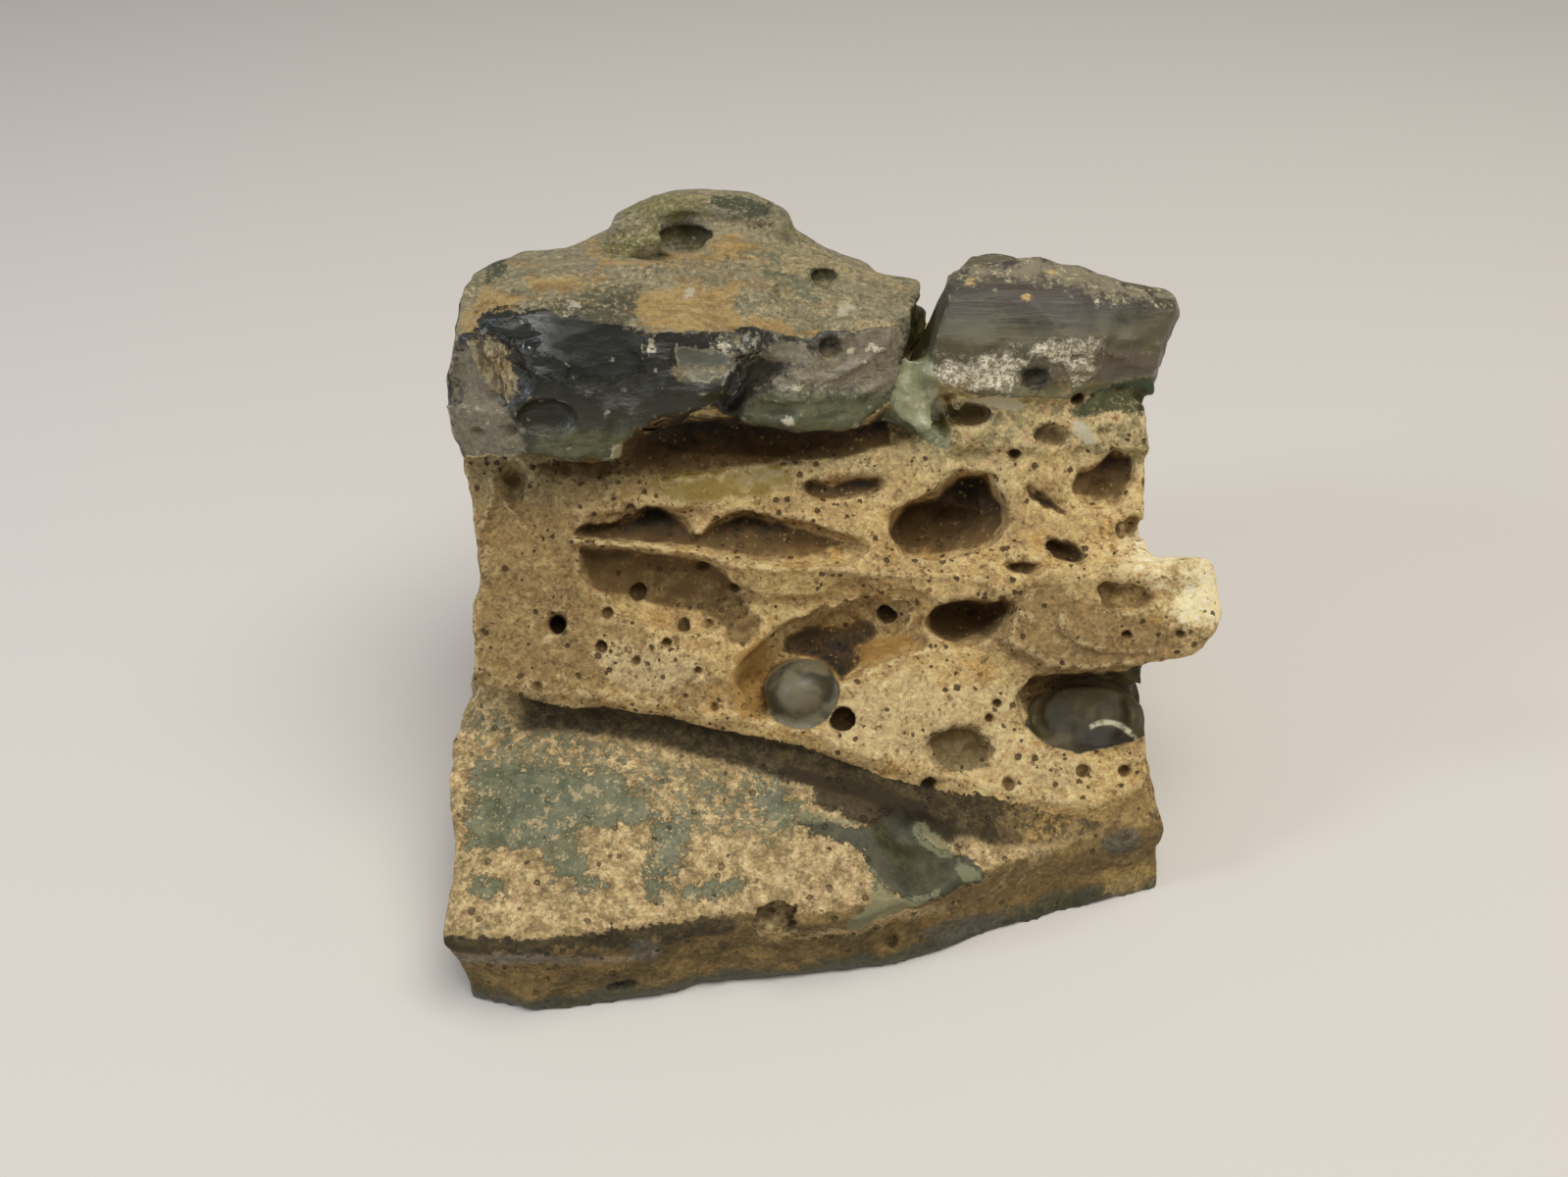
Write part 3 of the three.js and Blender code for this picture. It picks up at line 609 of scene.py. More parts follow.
def break_glass(piece, sizes):
    """Gives the glass shell-shaped breaks with ridges between them, and the block its chipped band."""
    points, normals, cap, block, _ = read_surface(piece)
    depth = sizes.facet_depth / MM
    stretched = points / np.array((1.35, 1.0, 1.0)) + 1.6 * noise(points, 9, 5)[:, None]
    large, own = cells(stretched, 8.5, seed=3)
    small, _ = cells(stretched, 3.1, seed=9)
    front = smooth_step(0.1, 0.7, -normals[:, 1]) * smooth_step(0.75, 0.3, normals[:, 2])
    broken = depth * (large**2 - 0.4 + 0.5 * (own - 0.5)) + 0.22 * depth * (small**2 - 0.3)
    terraces = 0.3 - np.abs(noise(points / np.array((1.9, 1.0, 1.0)), 6.0, 23, 3))
    amount = cap * (front * broken + (1 - front) * (1.1 * terraces + 0.22 * broken))
    chipped = smooth_step(76.8, 75.2, points[:, 2] + noise(points, 4, 27))
    chipped *= smooth_step(0, 0.5, -normals[:, 1])
    chips, shade = cells(points / np.array((1.7, 1.0, 0.8)), 2.4, seed=14)
    drawn = 0.12 * noise(points / np.array((5.0, 1.0, 1.0)), 1.5, 25, 2)
    facets = 0.5 * depth * (large**2 - 0.4)
    amount += block * (facets + drawn + chipped * (1.1 * (chips**2 - 0.35) + 0.9 * (shade - 0.5)))
    points += normals * (amount * grounded(points))[:, None]
    write_points(piece.data, points)


def roughen_froth(piece, sizes):
    """Gives the froth its lumps, makes the wedge uneven and draws in its front left corner."""
    points, normals, cap, block, wedge = read_surface(piece)
    froth = np.clip(1 - cap - block - wedge, 0, 1) * outside_bead(points)
    lumps = noise(points, 6.5, 31, 2) + 0.3 * noise(points, 2.2, 33, 2) + 0.4 * noise(points, 1.0, 34)
    flow = noise(points / np.array((2.6, 1.0, 1.0)), 4.0, 35, 2)
    steep = smooth_step(0.8, 0.4, normals[:, 2])
    x, y, z = points.T
    corner = smooth_step(-33, -46, x) * smooth_step(12, 0, y) * smooth_step(11, 1, z)
    points[:, 0] += 2.6 * corner
    crust = 0.3 * noise(points, 8, 41, 2) + 0.2 * noise(points, 1.8, 43, 2)
    sides = 0.9 * noise(points, 9, 45, 2) + 0.5 * noise(points, 3.0, 47, 2)
    amount = froth * (lumps * sizes.lump_height / MM + 0.25 * flow) + wedge * (crust + steep * sides)
    points += normals * (amount * grounded(points))[:, None]
    write_points(piece.data, points)


def spheres(places, level, uneven):
    """One mesh of many round cutters, each a centre and three radii in millimetres."""
    bpy.ops.mesh.primitive_ico_sphere_add(subdivisions=level, radius=1.0)
    ball = bpy.context.active_object
    unit = np.array([vertex.co[:] for vertex in ball.data.vertices])
    faces = np.array([face.vertices[:] for face in ball.data.polygons])
    centres = np.array([place[0] for place in places])
    radii = np.array([place[1] for place in places])
    arms = unit[None] * radii[:, None]
    bent = noise((centres[:, None] + arms).reshape(-1, 3), 3.5, 81, 2).reshape(arms.shape[:2])
    verts = (centres[:, None] + arms * (1 + uneven * bent[..., None])) * MM + CORNER
    offsets = np.arange(len(places))[:, None, None] * len(unit)
    mesh = bpy.data.meshes.new("bubbles")
    mesh.from_pydata(verts.reshape(-1, 3), [], (faces[None] + offsets).reshape(-1, 3).tolist())
    bpy.data.objects.remove(ball)
    cutter = bpy.data.objects.new("bubbles", mesh)
    bpy.context.collection.objects.link(cutter)
    return cutter


def random_bubbles(piece, sizes):
    """Small burst bubbles all over the froth, and a few in the wedge and the glass."""
    centres, normals, areas = read_faces(piece.data)
    cap, block, wedge = layers(centres)
    froth = np.clip(1 - cap - block - wedge, 0, 1) * smooth_step(0.4, -0.4, glassy(centres))
    crowded = smooth_step(-0.3, 0.6, noise(centres, 12, 51, 2))
    crowded += 2.5 * smooth_step(2, 16, centres[:, 0]) * smooth_step(38, 33, centres[:, 2])
    chance = areas * (froth * (0.12 + crowded) + 0.03 * wedge + 0.002 * (cap + block))
    chance *= centres[:, 2] > 2.5
    rng = np.random.default_rng(BUBBLE_SEED)
    chosen = rng.choice(len(areas), sizes.bubbles, replace=False, p=chance / chance.sum())
    size = 0.36 + 0.8 * rng.random(sizes.bubbles) ** 7
    return [
        (centres[i] - normals[i] * r * 0.4, r * rng.uniform(0.8, 1.3, 3)) for i, r in zip(chosen, size)
    ]


def rim_chips():
    """Small breaks along the wedge's front rim."""
    rng = np.random.default_rng(CHIP_SEED)
    x = rng.uniform(-45, 50, CHIPS)
    size = 0.5 + 1.4 * rng.random(CHIPS) ** 3
    up = rng.uniform(12.4, 13.8, CHIPS)
    return [
        (np.array((a, along(a, RIM) - 0.2 * r, h)), np.array((1.7, 1.0, 0.9)) * r)
        for a, r, h in zip(x, size, up)
    ]


def named_bubbles(piece):
    """The round holes that stand out, each seated where its place shows from the camera."""
    tree = BVHTree.FromObject(piece, bpy.context.evaluated_depsgraph_get())
    froth = [
        (on_face(x, z), (across, 1.4 * max(across, up), 1.1 * up), 0.5 * max(across, up))
        for x, z, across, up in BURSTS
    ]
    places = []
    named = [((x, SHEET_BACK, z), radii, sunk) for x, z, radii, sunk in HOLES]
    for place, radii, sunk in (*froth, *named):
        way = (np.array(place) - EYE) / np.linalg.norm(np.array(place) - EYE)
        places.append((first_hit(tree, EYE, way) + way * sunk, np.array(radii)))
    return places


def first_hit(tree, start, way):
    """Where a ray from a place first meets the surface, in millimetres."""
    hit = tree.ray_cast(Vector(start * MM + CORNER), Vector(way))[0]
    if hit is None:
        raise RuntimeError(f"No surface in the way {way} from {start}")
    return (np.array(hit) - CORNER) / MM


def far_bubbles(piece, lobe):
    """One of the two lobes of each burst bubble that the camera doesn't see."""
    tree = BVHTree.FromObject(piece, bpy.context.evaluated_depsgraph_get())
    places = []
    for start, radii in FAR_HOLES:
        start, radii = np.array(start), np.array(radii)
        way = np.where(np.abs(start) == FAR, -np.sign(start), 0.0)
        aside = np.cross(way, (0.0, 0.0, 1.0)) * radii.max()
        moved = first_hit(tree, start, way) + lobe * (0.8 * aside + np.array((0.0, 0.0, 0.5 * radii[2])))
        places.append((moved, radii * (1 - 0.4 * lobe)))
    return places


def carve(piece, places, level=2, uneven=0.08):
    """Cuts round bubbles out of the piece."""
    cutter = spheres(places, level, uneven)
    apply_modifier(piece, "BOOLEAN", operation="DIFFERENCE", object=cutter, solver="MANIFOLD")
    bpy.data.objects.remove(cutter)


def drop_crumbs(piece):
    """Deletes whatever is not joined to the foot."""
    use_only(piece)
    edit_mode("DESELECT")
    bpy.ops.object.mode_set(mode="OBJECT")
    lowest = int(np.argmin(read_points(piece.data)[:, 2]))
    piece.data.vertices[lowest].select = True
    bpy.ops.object.mode_set(mode="EDIT")
    bpy.ops.mesh.select_linked()
    bpy.ops.mesh.select_all(action="INVERT")
    bpy.ops.mesh.delete(type="VERT")
    bpy.ops.object.mode_set(mode="OBJECT")


def keep_in_box(piece):
    """Holds every point inside the frame's box."""
    points = read_points(piece.data)
    low, high = ((corner - CORNER) / MM for corner in (LOW, HIGH))
    write_points(piece.data, np.clip(points, low + 0.01, high - 0.01))


# ---------------------------------------------------------------- what the materials read

# Patches of colour: outlines as (X, Z) on the upright sheet.
PATCHES = {
    "rust": (
        ((-18.2, 89.8), (-12.2, 91.1), (-5.4, 90.9), (-6.7, 87.9), (-0.3, 86.2), (4.5, 84.3), (0.5, 83.8),
         (-4.9, 85.1), (-15.4, 85.1), (-17.9, 85.2)),
        ((-31.3, 92), (-22.9, 92.3), (-22.7, 91.6), (-27.4, 90.3), (-30.3, 90.3)),
        ((-39.5, 89.1), (-37.7, 89.8), (-32, 90.1), (-31.4, 89.4), (-35.3, 88), (-37.7, 86.8),
         (-39.3, 84.4), (-40.4, 84.8)),
        ((-25.7, 98.2), (-23.9, 97.9), (-22.1, 94.8), (-18.9, 94.2), (-14.8, 95.2), (-9.2, 95.8),
         (-10, 94.7), (-18.2, 93.8), (-23.8, 94.6)),
        ((-8.7, 97.1), (-4.7, 97.3), (-1.9, 94.8), (-8, 95), (-9.8, 95.6)),
        ((15.7, 93.5), (19.8, 90.6), (19, 90.2), (15.6, 92.8)),
        ((22.2, 91.7), (23.2, 92.2), (24.4, 91.8), (23.5, 91)),
        ((29.2, 89.6), (30.4, 90), (31.2, 89.4), (30.1, 88.9)),
        ((32.2, 93), (33.6, 93.3), (34.1, 92.7), (32.9, 92.4)),
    ),
    "olive": (
        ((-20, 101.7), (-17.6, 102.7), (-12.1, 102.9), (-8.6, 101.5), (-9.4, 100), (-19, 100)),
        ((-22.6, 96.7), (-20.3, 97.5), (-14.6, 99.2), (-13.9, 97.5), (-14.8, 96.1), (-21.3, 95)),
        ((-1.1, 98.2), (1.3, 98.6), (4.1, 97.5), (0.9, 97.1)),
    ),
    "bottle": (
        ((-9, 102.3), (-5.4, 102.4), (-1.3, 101.3), (-1.1, 99.6), (-4.3, 99.4), (-8.6, 101.1)),
        ((-37.6, 94), (-34.1, 95.1), (-34.4, 92.2), (-37.1, 91.9)),
        ((3.3, 92.8), (6.4, 92.4), (6, 91.9), (3.4, 91.9)),
        ((20.6, 74.4), (23.5, 74.9), (26.1, 74.2), (27.4, 72.7), (26.8, 71.5), (23.8, 71.5), (21.4, 72.5)),
        ((37.9, 72.5), (38.5, 74.8), (41.1, 76.6), (44.8, 77.8), (49.1, 78.4), (49, 75.4), (48.2, 73),
         (43.6, 73.4), (39.4, 72.7)),
    ),
    "black": (
        ((-39.6, 84), (-37.8, 86.5), (-35.9, 87.7), (-29.7, 87.9), (-25.7, 86.2), (-17.9, 84.9),
         (-18.3, 78.7), (-28.6, 77.5), (-32, 78.2), (-35.4, 83.4)),
    ),
    # Dark patches, most of them painted shade: the notch between the cap's lobes, pits and grooves in the
    # cap's top, the crack by the drip, a dark spot on the block, and a dark painted reflection under the
    # glint in the pocket.
    "shade_and_dark_spots": (
        ((-5.9, 80), (-2.9, 80.8), (2.2, 79.9), (-1.2, 78.4), (-4.7, 74.3), (-6, 72.6), (-8.6, 73.6),
         (-7, 76.7)),
        ((-14.6, 99), (-11.8, 99.5), (-9.1, 97.1), (-9.6, 95.8), (-12, 95.2), (-15.2, 96.5)),
        ((16.5, 90), (19.6, 89.8), (16.8, 84.8), (15.5, 78.7), (14.3, 80.1), (15.2, 84.8)),
        ((30.5, 79.1), (31.8, 80.1), (34.2, 79.5), (34.6, 77.7), (33, 76.8), (30.9, 77.3)),
        ((-30.5, 88), (-22.4, 91.1), (-17.5, 90.6), (-18.6, 86.6), (-21.2, 84.8), (-24.5, 85.7),
         (-27.7, 87.5)),
        ((-22.4, 96.5), (-17.2, 96.9), (-16.9, 95), (-21.3, 95)),
        ((47.2, 15.5), (48.3, 16.5), (50.2, 17), (52, 16.6), (53.9, 15.3), (54.9, 14), (51.7, 12.5),
         (48.2, 12.3), (46.4, 13.5)),
    ),
    "flank": (
        ((-39.6, 83.4), (-36.9, 83.8), (-35.2, 82), (-35.2, 76.7), (-36, 74.8), (-39.2, 78.7)),
    ),
    "facet": (
        ((-13.8, 82.7), (-9.8, 82), (-6.3, 81.3), (-6.5, 79.2), (-10.6, 77.5), (-13.7, 79.6)),
        ((-0.7, 82.7), (2.6, 82.9), (3.3, 81.3), (1.8, 80.1), (-0.5, 80.6)),
    ),
    "lobe": (
        ((-3.8, 75.8), (4, 76), (13.9, 75.8), (11.9, 71.6), (5.8, 69.4), (-3, 71.2), (-6, 72.8)),
        ((-32.8, 68.8), (-28.5, 70), (-24.1, 69.5), (-20.3, 70.4), (-21.4, 67.2), (-24.2, 65.4),
         (-29.8, 65.6), (-33.4, 66.1)),
    ),
    "chips": (
        ((-28.6, 87.2), (-25.9, 89.2), (-25, 88.9), (-27.5, 87)),
        ((-12.8, 90.4), (-12, 90.9), (-11, 90.1), (-11.4, 89.4), (-12.5, 89.7)),
        ((6.4, 87.4), (7.3, 88.6), (9.6, 88.6), (8.4, 87.2)),
        ((-8.7, 83.2), (-7.9, 84.3), (-6.9, 82.9), (-7.7, 82)),
        ((-17.8, 82.7), (-16.9, 83.9), (-16.4, 82.5), (-17.2, 81.5)),
        ((-0.2, 71.9), (0.8, 72.3), (1.3, 71.7), (0.3, 71.2)),
        ((-23.4, 67.2), (-21.8, 68.2), (-22.1, 66.5), (-23.3, 65.6)),
        ((8.3, 82.3), (11.9, 82.7), (11.9, 82.3), (8.3, 81.9)),
        ((-1.2, 77), (5.7, 77.5), (5.7, 77), (-1.2, 76.5)),
        ((23.5, 74.9), (29.4, 75.4), (31.6, 74.2), (30.8, 73.4)),
        # The thin arc at the pocket is a painted highlight, not a chip.
        ((47.5, 17), (48.3, 17.9), (49.6, 18.4), (51.1, 18.3), (52.6, 17.6), (54.3, 16.1), (55.3, 14.6),
         (54.3, 15.3), (52.7, 16.8), (51.2, 17.6), (49.7, 17.6), (48.5, 17.2), (47.8, 16.6)),
        ((38.2, 71.5), (39, 71.9), (40.2, 70.9), (41.4, 69.4), (41.6, 68.4), (40.6, 68.3), (39, 69.8)),
    ),
    "bruise": (
        ((19.1, 81), (26.7, 81.4), (30.9, 81.2), (32.1, 79.8), (30.4, 77.7), (29.7, 76.3), (22.2, 76.1),
         (19.6, 76.6)),
        ((31.8, 81.9), (33.5, 83.7), (40.1, 83.3), (40.8, 81.5), (37.9, 77.7), (36, 79.6)),
        ((-9.1, 84.3), (-2.8, 84.8), (-1.2, 82.5), (-4.6, 80.6), (-7.1, 81.5)),
    ),
    "satin": (
        ((41, 82.6), (44.8, 82.3), (49, 81.7), (49.1, 78.7), (43, 77.5), (40.3, 79.1)),
    ),
    "rim": (
        ((20.6, 91.5), (21.3, 93.2), (29.9, 94.7), (37.9, 94), (42.3, 90.8), (48.6, 90.4), (48.6, 89.3),
         (41.3, 89.5), (31.3, 92.1), (25, 91.9)),
        ((38.6, 91.5), (43.5, 90.8), (48.6, 90.2), (48.9, 88.4), (45.4, 88.7), (41.3, 89.7)),
    ),
    "amber": (
        ((-7, 32.1), (-3.3, 35.2), (-1.3, 30.5), (-3.4, 25), (-3.5, 18.8), (-6.9, 18.8), (-8.2, 23.9)),
        ((10.6, 33.7), (17, 36.3), (20.4, 33.7), (15.6, 31), (10.8, 27.8)),
    ),
    # The arm's underside and the froth's lower left: a duller tone, with painted shade under the arm.
    "dull_and_shade": (
        ((33.7, 45.4), (40.2, 44.8), (44.6, 40.1), (51.1, 40.7), (58.2, 37.7), (61.4, 35.9),
         (59.1, 32.1), (53.7, 29.6), (48.3, 27.1), (42.2, 28.3), (36.1, 30.9), (29.2, 32.8), (33.4, 38.9)),
        ((-43.8, 54.4), (-27.6, 51), (-23.1, 36.8), (-5.9, 25.3), (-15, 21.3), (-35.6, 27.3), (-47.5, 29.2)),
    ),
    "bright": (
        ((2.6, 14.7), (12.4, 28.3), (23.3, 27.2), (34.5, 23.9), (39.1, 12.3), (46.3, 10.5), (51.2, 0),
         (33.7, 4.4), (20.2, 7.5), (10.5, 10.5)),
        ((-28.6, 31.6), (-21.9, 33.1), (-13.9, 31.6), (-13, 27.7), (-16.4, 24.9), (-26.8, 25.7)),
    ),
    "dusty": (
        ((-1.2, 83.4), (3.5, 82), (7.6, 84.3), (13.8, 86.6), (16, 84.8), (15.8, 80.6), (13.9, 76.3),
         (5.7, 76.3), (-0.8, 76.7), (-4.6, 76.7), (-5.5, 78.7), (-2.9, 80.6)),
        ((-41.9, 83.4), (-39.5, 82.9), (-37.6, 77.7), (-35.9, 73.8), (-35.2, 68.8), (-34.2, 66.2),
         (-39.7, 64.6), (-43.1, 66.2), (-44.3, 69.8), (-42.9, 76.7)),
    ),
    "bowl": (
        ((2.9, -4.2), (5.5, -3.3), (10.9, -5.7), (13.6, -5.2), (15.4, -3.2), (18.9, -0.3), (21.8, -3.8),
         (22.9, -7.8), (27.3, -11.8), (33, -13.9), (34.4, -17.7), (31.2, -20.1), (26.2, -22.6),
         (22, -24.4), (18, -21.5), (15, -16.6), (13.4, -10.8), (8.7, -8.5), (4.3, -7)),
    ),
    "brink": (
        ((14, -14.5), (17, -19.4), (20, -23.3), (23.8, -22.6), (27.5, -20.8), (24.8, -24.4),
         (20.2, -26.6), (16.4, -28.8), (12.6, -31.8), (10.2, -30.3), (13.9, -26.6), (15.7, -23.7)),
    ),
    # Painted shadow under the overhang behind the wedge's glassy break.
    "shade": (
        ((-2.2, 9.3), (2.6, 7.8), (8.4, 4.7), (11.5, 5), (16.9, 2.5), (22.4, 0), (26.4, -5.2),
         (29.5, -9.8), (33, -13.5), (28.6, -10.5), (23.1, -4.2), (20.3, -2.6), (18.1, -3.2),
         (14.1, -4.8), (11.8, -3.8), (10.8, 0), (7.1, 2.5), (1.7, 5)),
        ((4.4, 6.6), (12.4, 5), (20.6, 0), (22.7, -3.8), (18.1, -3.2), (14.5, -3.8), (12.7, -4.6),
         (8.6, -2), (4.9, 0)),
    ),
    "streak": (
        ((21.4, -4.2), (23.1, -4.2), (27.6, -9.8), (29, -12.8), (26, -12.5), (23, -9.8), (21.6, -7.1)),
        ((2.2, -2.6), (4.5, -1.8), (8.6, -2.6), (11.9, -4.2), (10.9, -5.3), (6.8, -4), (2.7, -4.6)),
        ((28.9, -13.9), (30.8, -14.4), (33.3, -16.3), (33.9, -18.4), (31.1, -19.1), (29.8, -17)),
    ),
    "bloom": (
        ((-61, -37.8), (-53.6, -38.6), (-44.5, -38.4), (-35.9, -39.4), (-28, -38.6), (-22.4, -36.4),
         (-22.5, -38.2), (-28.1, -40.5), (-40.1, -41.2), (-51.9, -41), (-59.7, -39.9)),
    ),
    "dent": (
        ((22, 14.7), (23.6, 16.8), (29.1, 17.2), (32.4, 14.7), (32.5, 8.7), (28.2, 6.6), (24.1, 8.7)),
        ((32.8, 71), (35.3, 71.5), (38.1, 70), (38.1, 68), (36.2, 67.5), (33.9, 69)),
        ((36.6, 52.7), (39.3, 52.4), (41.7, 51.6), (42.5, 48.8), (39.7, 49.1), (37.3, 50.5)),
    ),
    "sage": (
        ((-49.2, 9.4), (-39.4, 9.4), (-32, 7), (-26.3, 7), (-21.6, -2), (-25.7, -4.6), (-33, -5.6),
         (-38.6, -10.4), (-49.7, -10.9), (-53.5, -9.3)),
        ((-39.9, -8.8), (-35.4, -7.2), (-33.8, -14.7), (-31.4, -19.4), (-32.1, -21.4), (-36.2, -20.8),
         (-39.4, -18)),
        ((-21.9, -1), (-15.2, -4.1), (-16.3, -8.3), (-18.5, -13.6), (-18.4, -18.6), (-22, -22.8),
         (-24.4, -22), (-22.5, -11.5)),
        ((-18.1, -20.3), (-13.6, -19.7), (-6.7, -17.7), (-7.6, -22), (-16.3, -23.1)),
        ((-4.5, 3.2), (-1.4, 5), (2.7, 0), (-0.5, -6.5), (-3.7, -3.2)),
        ((-53.4, -16.9), (-48, -18.6), (-47, -22.5), (-51.6, -23.1), (-54, -21.4)),
    ),
    "mix": (
        ((-48.1, 20.2), (-38.4, 18.8), (-31.3, 14.6), (-22.9, 11.8), (-4.7, 5), (-4.8, -9.3),
         (-14.9, -6.2), (-23.1, 3), (-39.5, 8.9), (-49.7, 8)),
        ((-6.6, 9.9), (-0.5, 7.5), (5.4, 0), (2.7, -7.8), (-3.7, -10.5), (-6.9, -7.8)),
    ),
    "buff": (
        ((50.3, 9.9), (57.2, 10.5), (60.1, -5.2), (56.5, -5.2), (51.6, -2.6)),
    ),
    "slate": (
        ((53, -9.8), (53.9, -6.5), (58.3, -5.2), (60, -10.5), (55.7, -12.5)),
        ((23.4, -33.3), (30, -28.8), (41.2, -25.1), (36.9, -30.6), (27.4, -34.8)),
        ((-27.8, -35.2), (-21.9, -35.2), (-22.9, -39.1), (-26.1, -40.4), (-28.4, -38.5)),
        ((-59.5, -38.6), (-51.7, -38.9), (-41.5, -39.2), (-41.6, -40.7), (-53.9, -41.1), (-59, -40.1)),
    ),
    "corner": (
        ((54.5, -17.3), (61, -13.9), (63.9, -17.3), (61.7, -21.5), (55.2, -22.2)),
    ),
}
# How far either side of its edge a patch is kept, in millimetres, and how many millimetres inside its
# edge a face counts as when it looks straight at the eye. It falls to 0 as the face turns away.
KEPT, TURNED = 4.0, 6.0
# The pale end of the arm, and the yellow glaze under the cap, as ellipsoids: centre and half sizes.
PALE = ((on_face(60.5, 44.6), (7.0, 9, 5.2)), (on_face(56, 47.2), (8, 7, 3.2)))
GLAZE = ((on_face(-11.0, 55.6), (10.5, 3, 2.1)), (on_face(-2.4, 56.4), (4.0, 3, 1.8)))


def spread(values, mesh, rounds=1):
    """Averages each point's number with its neighbours'."""
    pairs = np.empty(len(mesh.edges) * 2, np.int32)
    mesh.edges.foreach_get("vertices", pairs)
    a, b = pairs.reshape(-1, 2).T
    count = np.bincount(a, minlength=len(values)) + np.bincount(b, minlength=len(values)) + 1.0
    for _ in range(rounds):
        total = np.bincount(a, values[b], len(values)) + np.bincount(b, values[a], len(values))
        values = (values + total) / count
    return values


def enclosure(piece, points, normals, reach=11.0, rays=20):
    """How shut in each point is, from 0 in the open to 1 at the bottom of a deep hole."""
    tree = BVHTree.FromObject(piece, bpy.context.evaluated_depsgraph_get())
    turn = math.pi * (3.0 - math.sqrt(5.0))
    heights = 1.0 - (np.arange(rays) + 0.5) * 2.0 / rays
    rings = np.sqrt(1.0 - heights**2)
    around = np.arange(rays) * turn
    ways = np.stack([rings * np.cos(around), rings * np.sin(around), heights], axis=1)
    facing = normals @ ways.T
    vectors = [Vector(way) for way in ways]
    starts = (points + normals * 0.05) * MM + CORNER
    shut = np.zeros(len(points))
    for index, start in enumerate(starts.tolist()):
        total = blocked = 0.0
        for ray in np.flatnonzero(facing[index] > 0.15):
            weight = facing[index, ray]
            total += weight
            distance = tree.ray_cast(start, vectors[ray], reach * MM)[3]
            if distance is not None:
                blocked += weight * (1.0 - distance / (reach * MM))
        shut[index] = blocked / total if total else 1.0
    return spread(shut, piece.data, 2)


def thinness(piece, points, normals, reach=9.0):
    """1 where the chunk is thin behind a point, and 0 where it is thicker than reach."""
    tree = BVHTree.FromObject(piece, bpy.context.evaluated_depsgraph_get())
    starts = (points - normals * 0.15) * MM + CORNER
    depths = np.full(len(points), reach)
    for index, (start, way) in enumerate(zip(starts.tolist(), (-normals).tolist())):
        distance = tree.ray_cast(start, way, reach * MM)[3]
        if distance is not None:
            depths[index] = distance / MM
    return spread(1.0 - depths / reach, piece.data, 3)


def crests(mesh, points, normals):
    """Above 0 where the surface stands out from its surroundings, and below 0 where it sinks."""
    around = np.stack([spread(points[:, axis], mesh, 4) for axis in range(3)], axis=1)
    return np.einsum("ij,ij->i", points - around, normals)


def hollow_shade_and_stain(points):
    """How dark the painted shade and stain in the frothy face's hollows are, from 0 to 1."""
    flat = seen_on_face(points) + 0.3 * noise(points, 1.6, 65, 2)[:, None]
    near = smooth_step(14, 12, np.abs(out_of_face(points)))
    shade_and_stain = np.zeros(len(points))
    for outline, _, _, top, bottom in HOLLOWS:
        dark = up_along(flat, outline, bottom, top)
        shade_and_stain = np.maximum(shade_and_stain, dark * smooth_step(-0.2, 0.7, depth_inside(flat, outline)) * near)
    return shade_and_stain


def store_masks(piece):
    """Stores what each point of the surface is like, for the materials to read.

    Patches are kept as millimetres inside their edge, so that a material can place the edge itself.
    """
    mesh = piece.data
    points, normals = read_points(mesh), read_normals(mesh)
    x, y, z = points.T
    measures = {
        "hollow": enclosure(piece, points, normals),
        "thin": thinness(piece, points, normals),
        "crest": crests(mesh, points, normals),
        "upward": spread(normals[:, 2], mesh, 6),
        # the painted shade and stain of the hollows
        "shade_and_stain": hollow_shade_and_stain(points),
        "side": np.maximum(along(x, RIM) + 1.6 - y, 8.0 - z),
        "wall": y - along(x, WEDGE_BACK) + 0.6,
    }
    for name, values in measures.items():
        store(mesh, name, values)
    patches = {"bead": glassy(points), "pale": inside(points, PALE), "glaze": inside(points, GLAZE)}
    shown = seen_on_sheet(points)
    turned = -TURNED * np.einsum("ij,ij->i", normals, from_eye(points))
    for name, outlines in PATCHES.items():
        depth = np.max([depth_inside(shown, outline) for outline in outlines], axis=0)
        patches[name] = np.minimum(depth, turned)
    for name, depth in patches.items():
        store(mesh, name, np.clip(depth, -KEPT, KEPT))


def face_materials(mesh):
    """Picks a material for every face, by the layer or the patch that it lies in."""
    centres, normals, _ = read_faces(mesh)
    cap, block, wedge = layers(centres)
    index = np.full(len(centres), MATERIALS.index("froth"))
    index[wedge > 0.5] = MATERIALS.index("wedge")
    index[cap > 0.5] = MATERIALS.index("cap_glass")
    index[block > 0.5] = MATERIALS.index("block_glass")
    drip = (depth_inside(seen_on_sheet(centres), DRIP) > 0) & (centres[:, 1] < 60)
    index[drip & (normals[:, 1] < 0.3)] = MATERIALS.index("drip_glass")
    mesh.polygons.foreach_set("material_index", index.astype(np.int32))


# ---------------------------------------------------------------- shader nodes


def linear(red, green, blue):
    """A colour with channels from 0 to 255, as shares of linear light."""
    shares = (channel / 255 for channel in (red, green, blue))
    return tuple(s / 12.92 if s < 0.04045 else ((s + 0.055) / 1.055) ** 2.4 for s in shares)


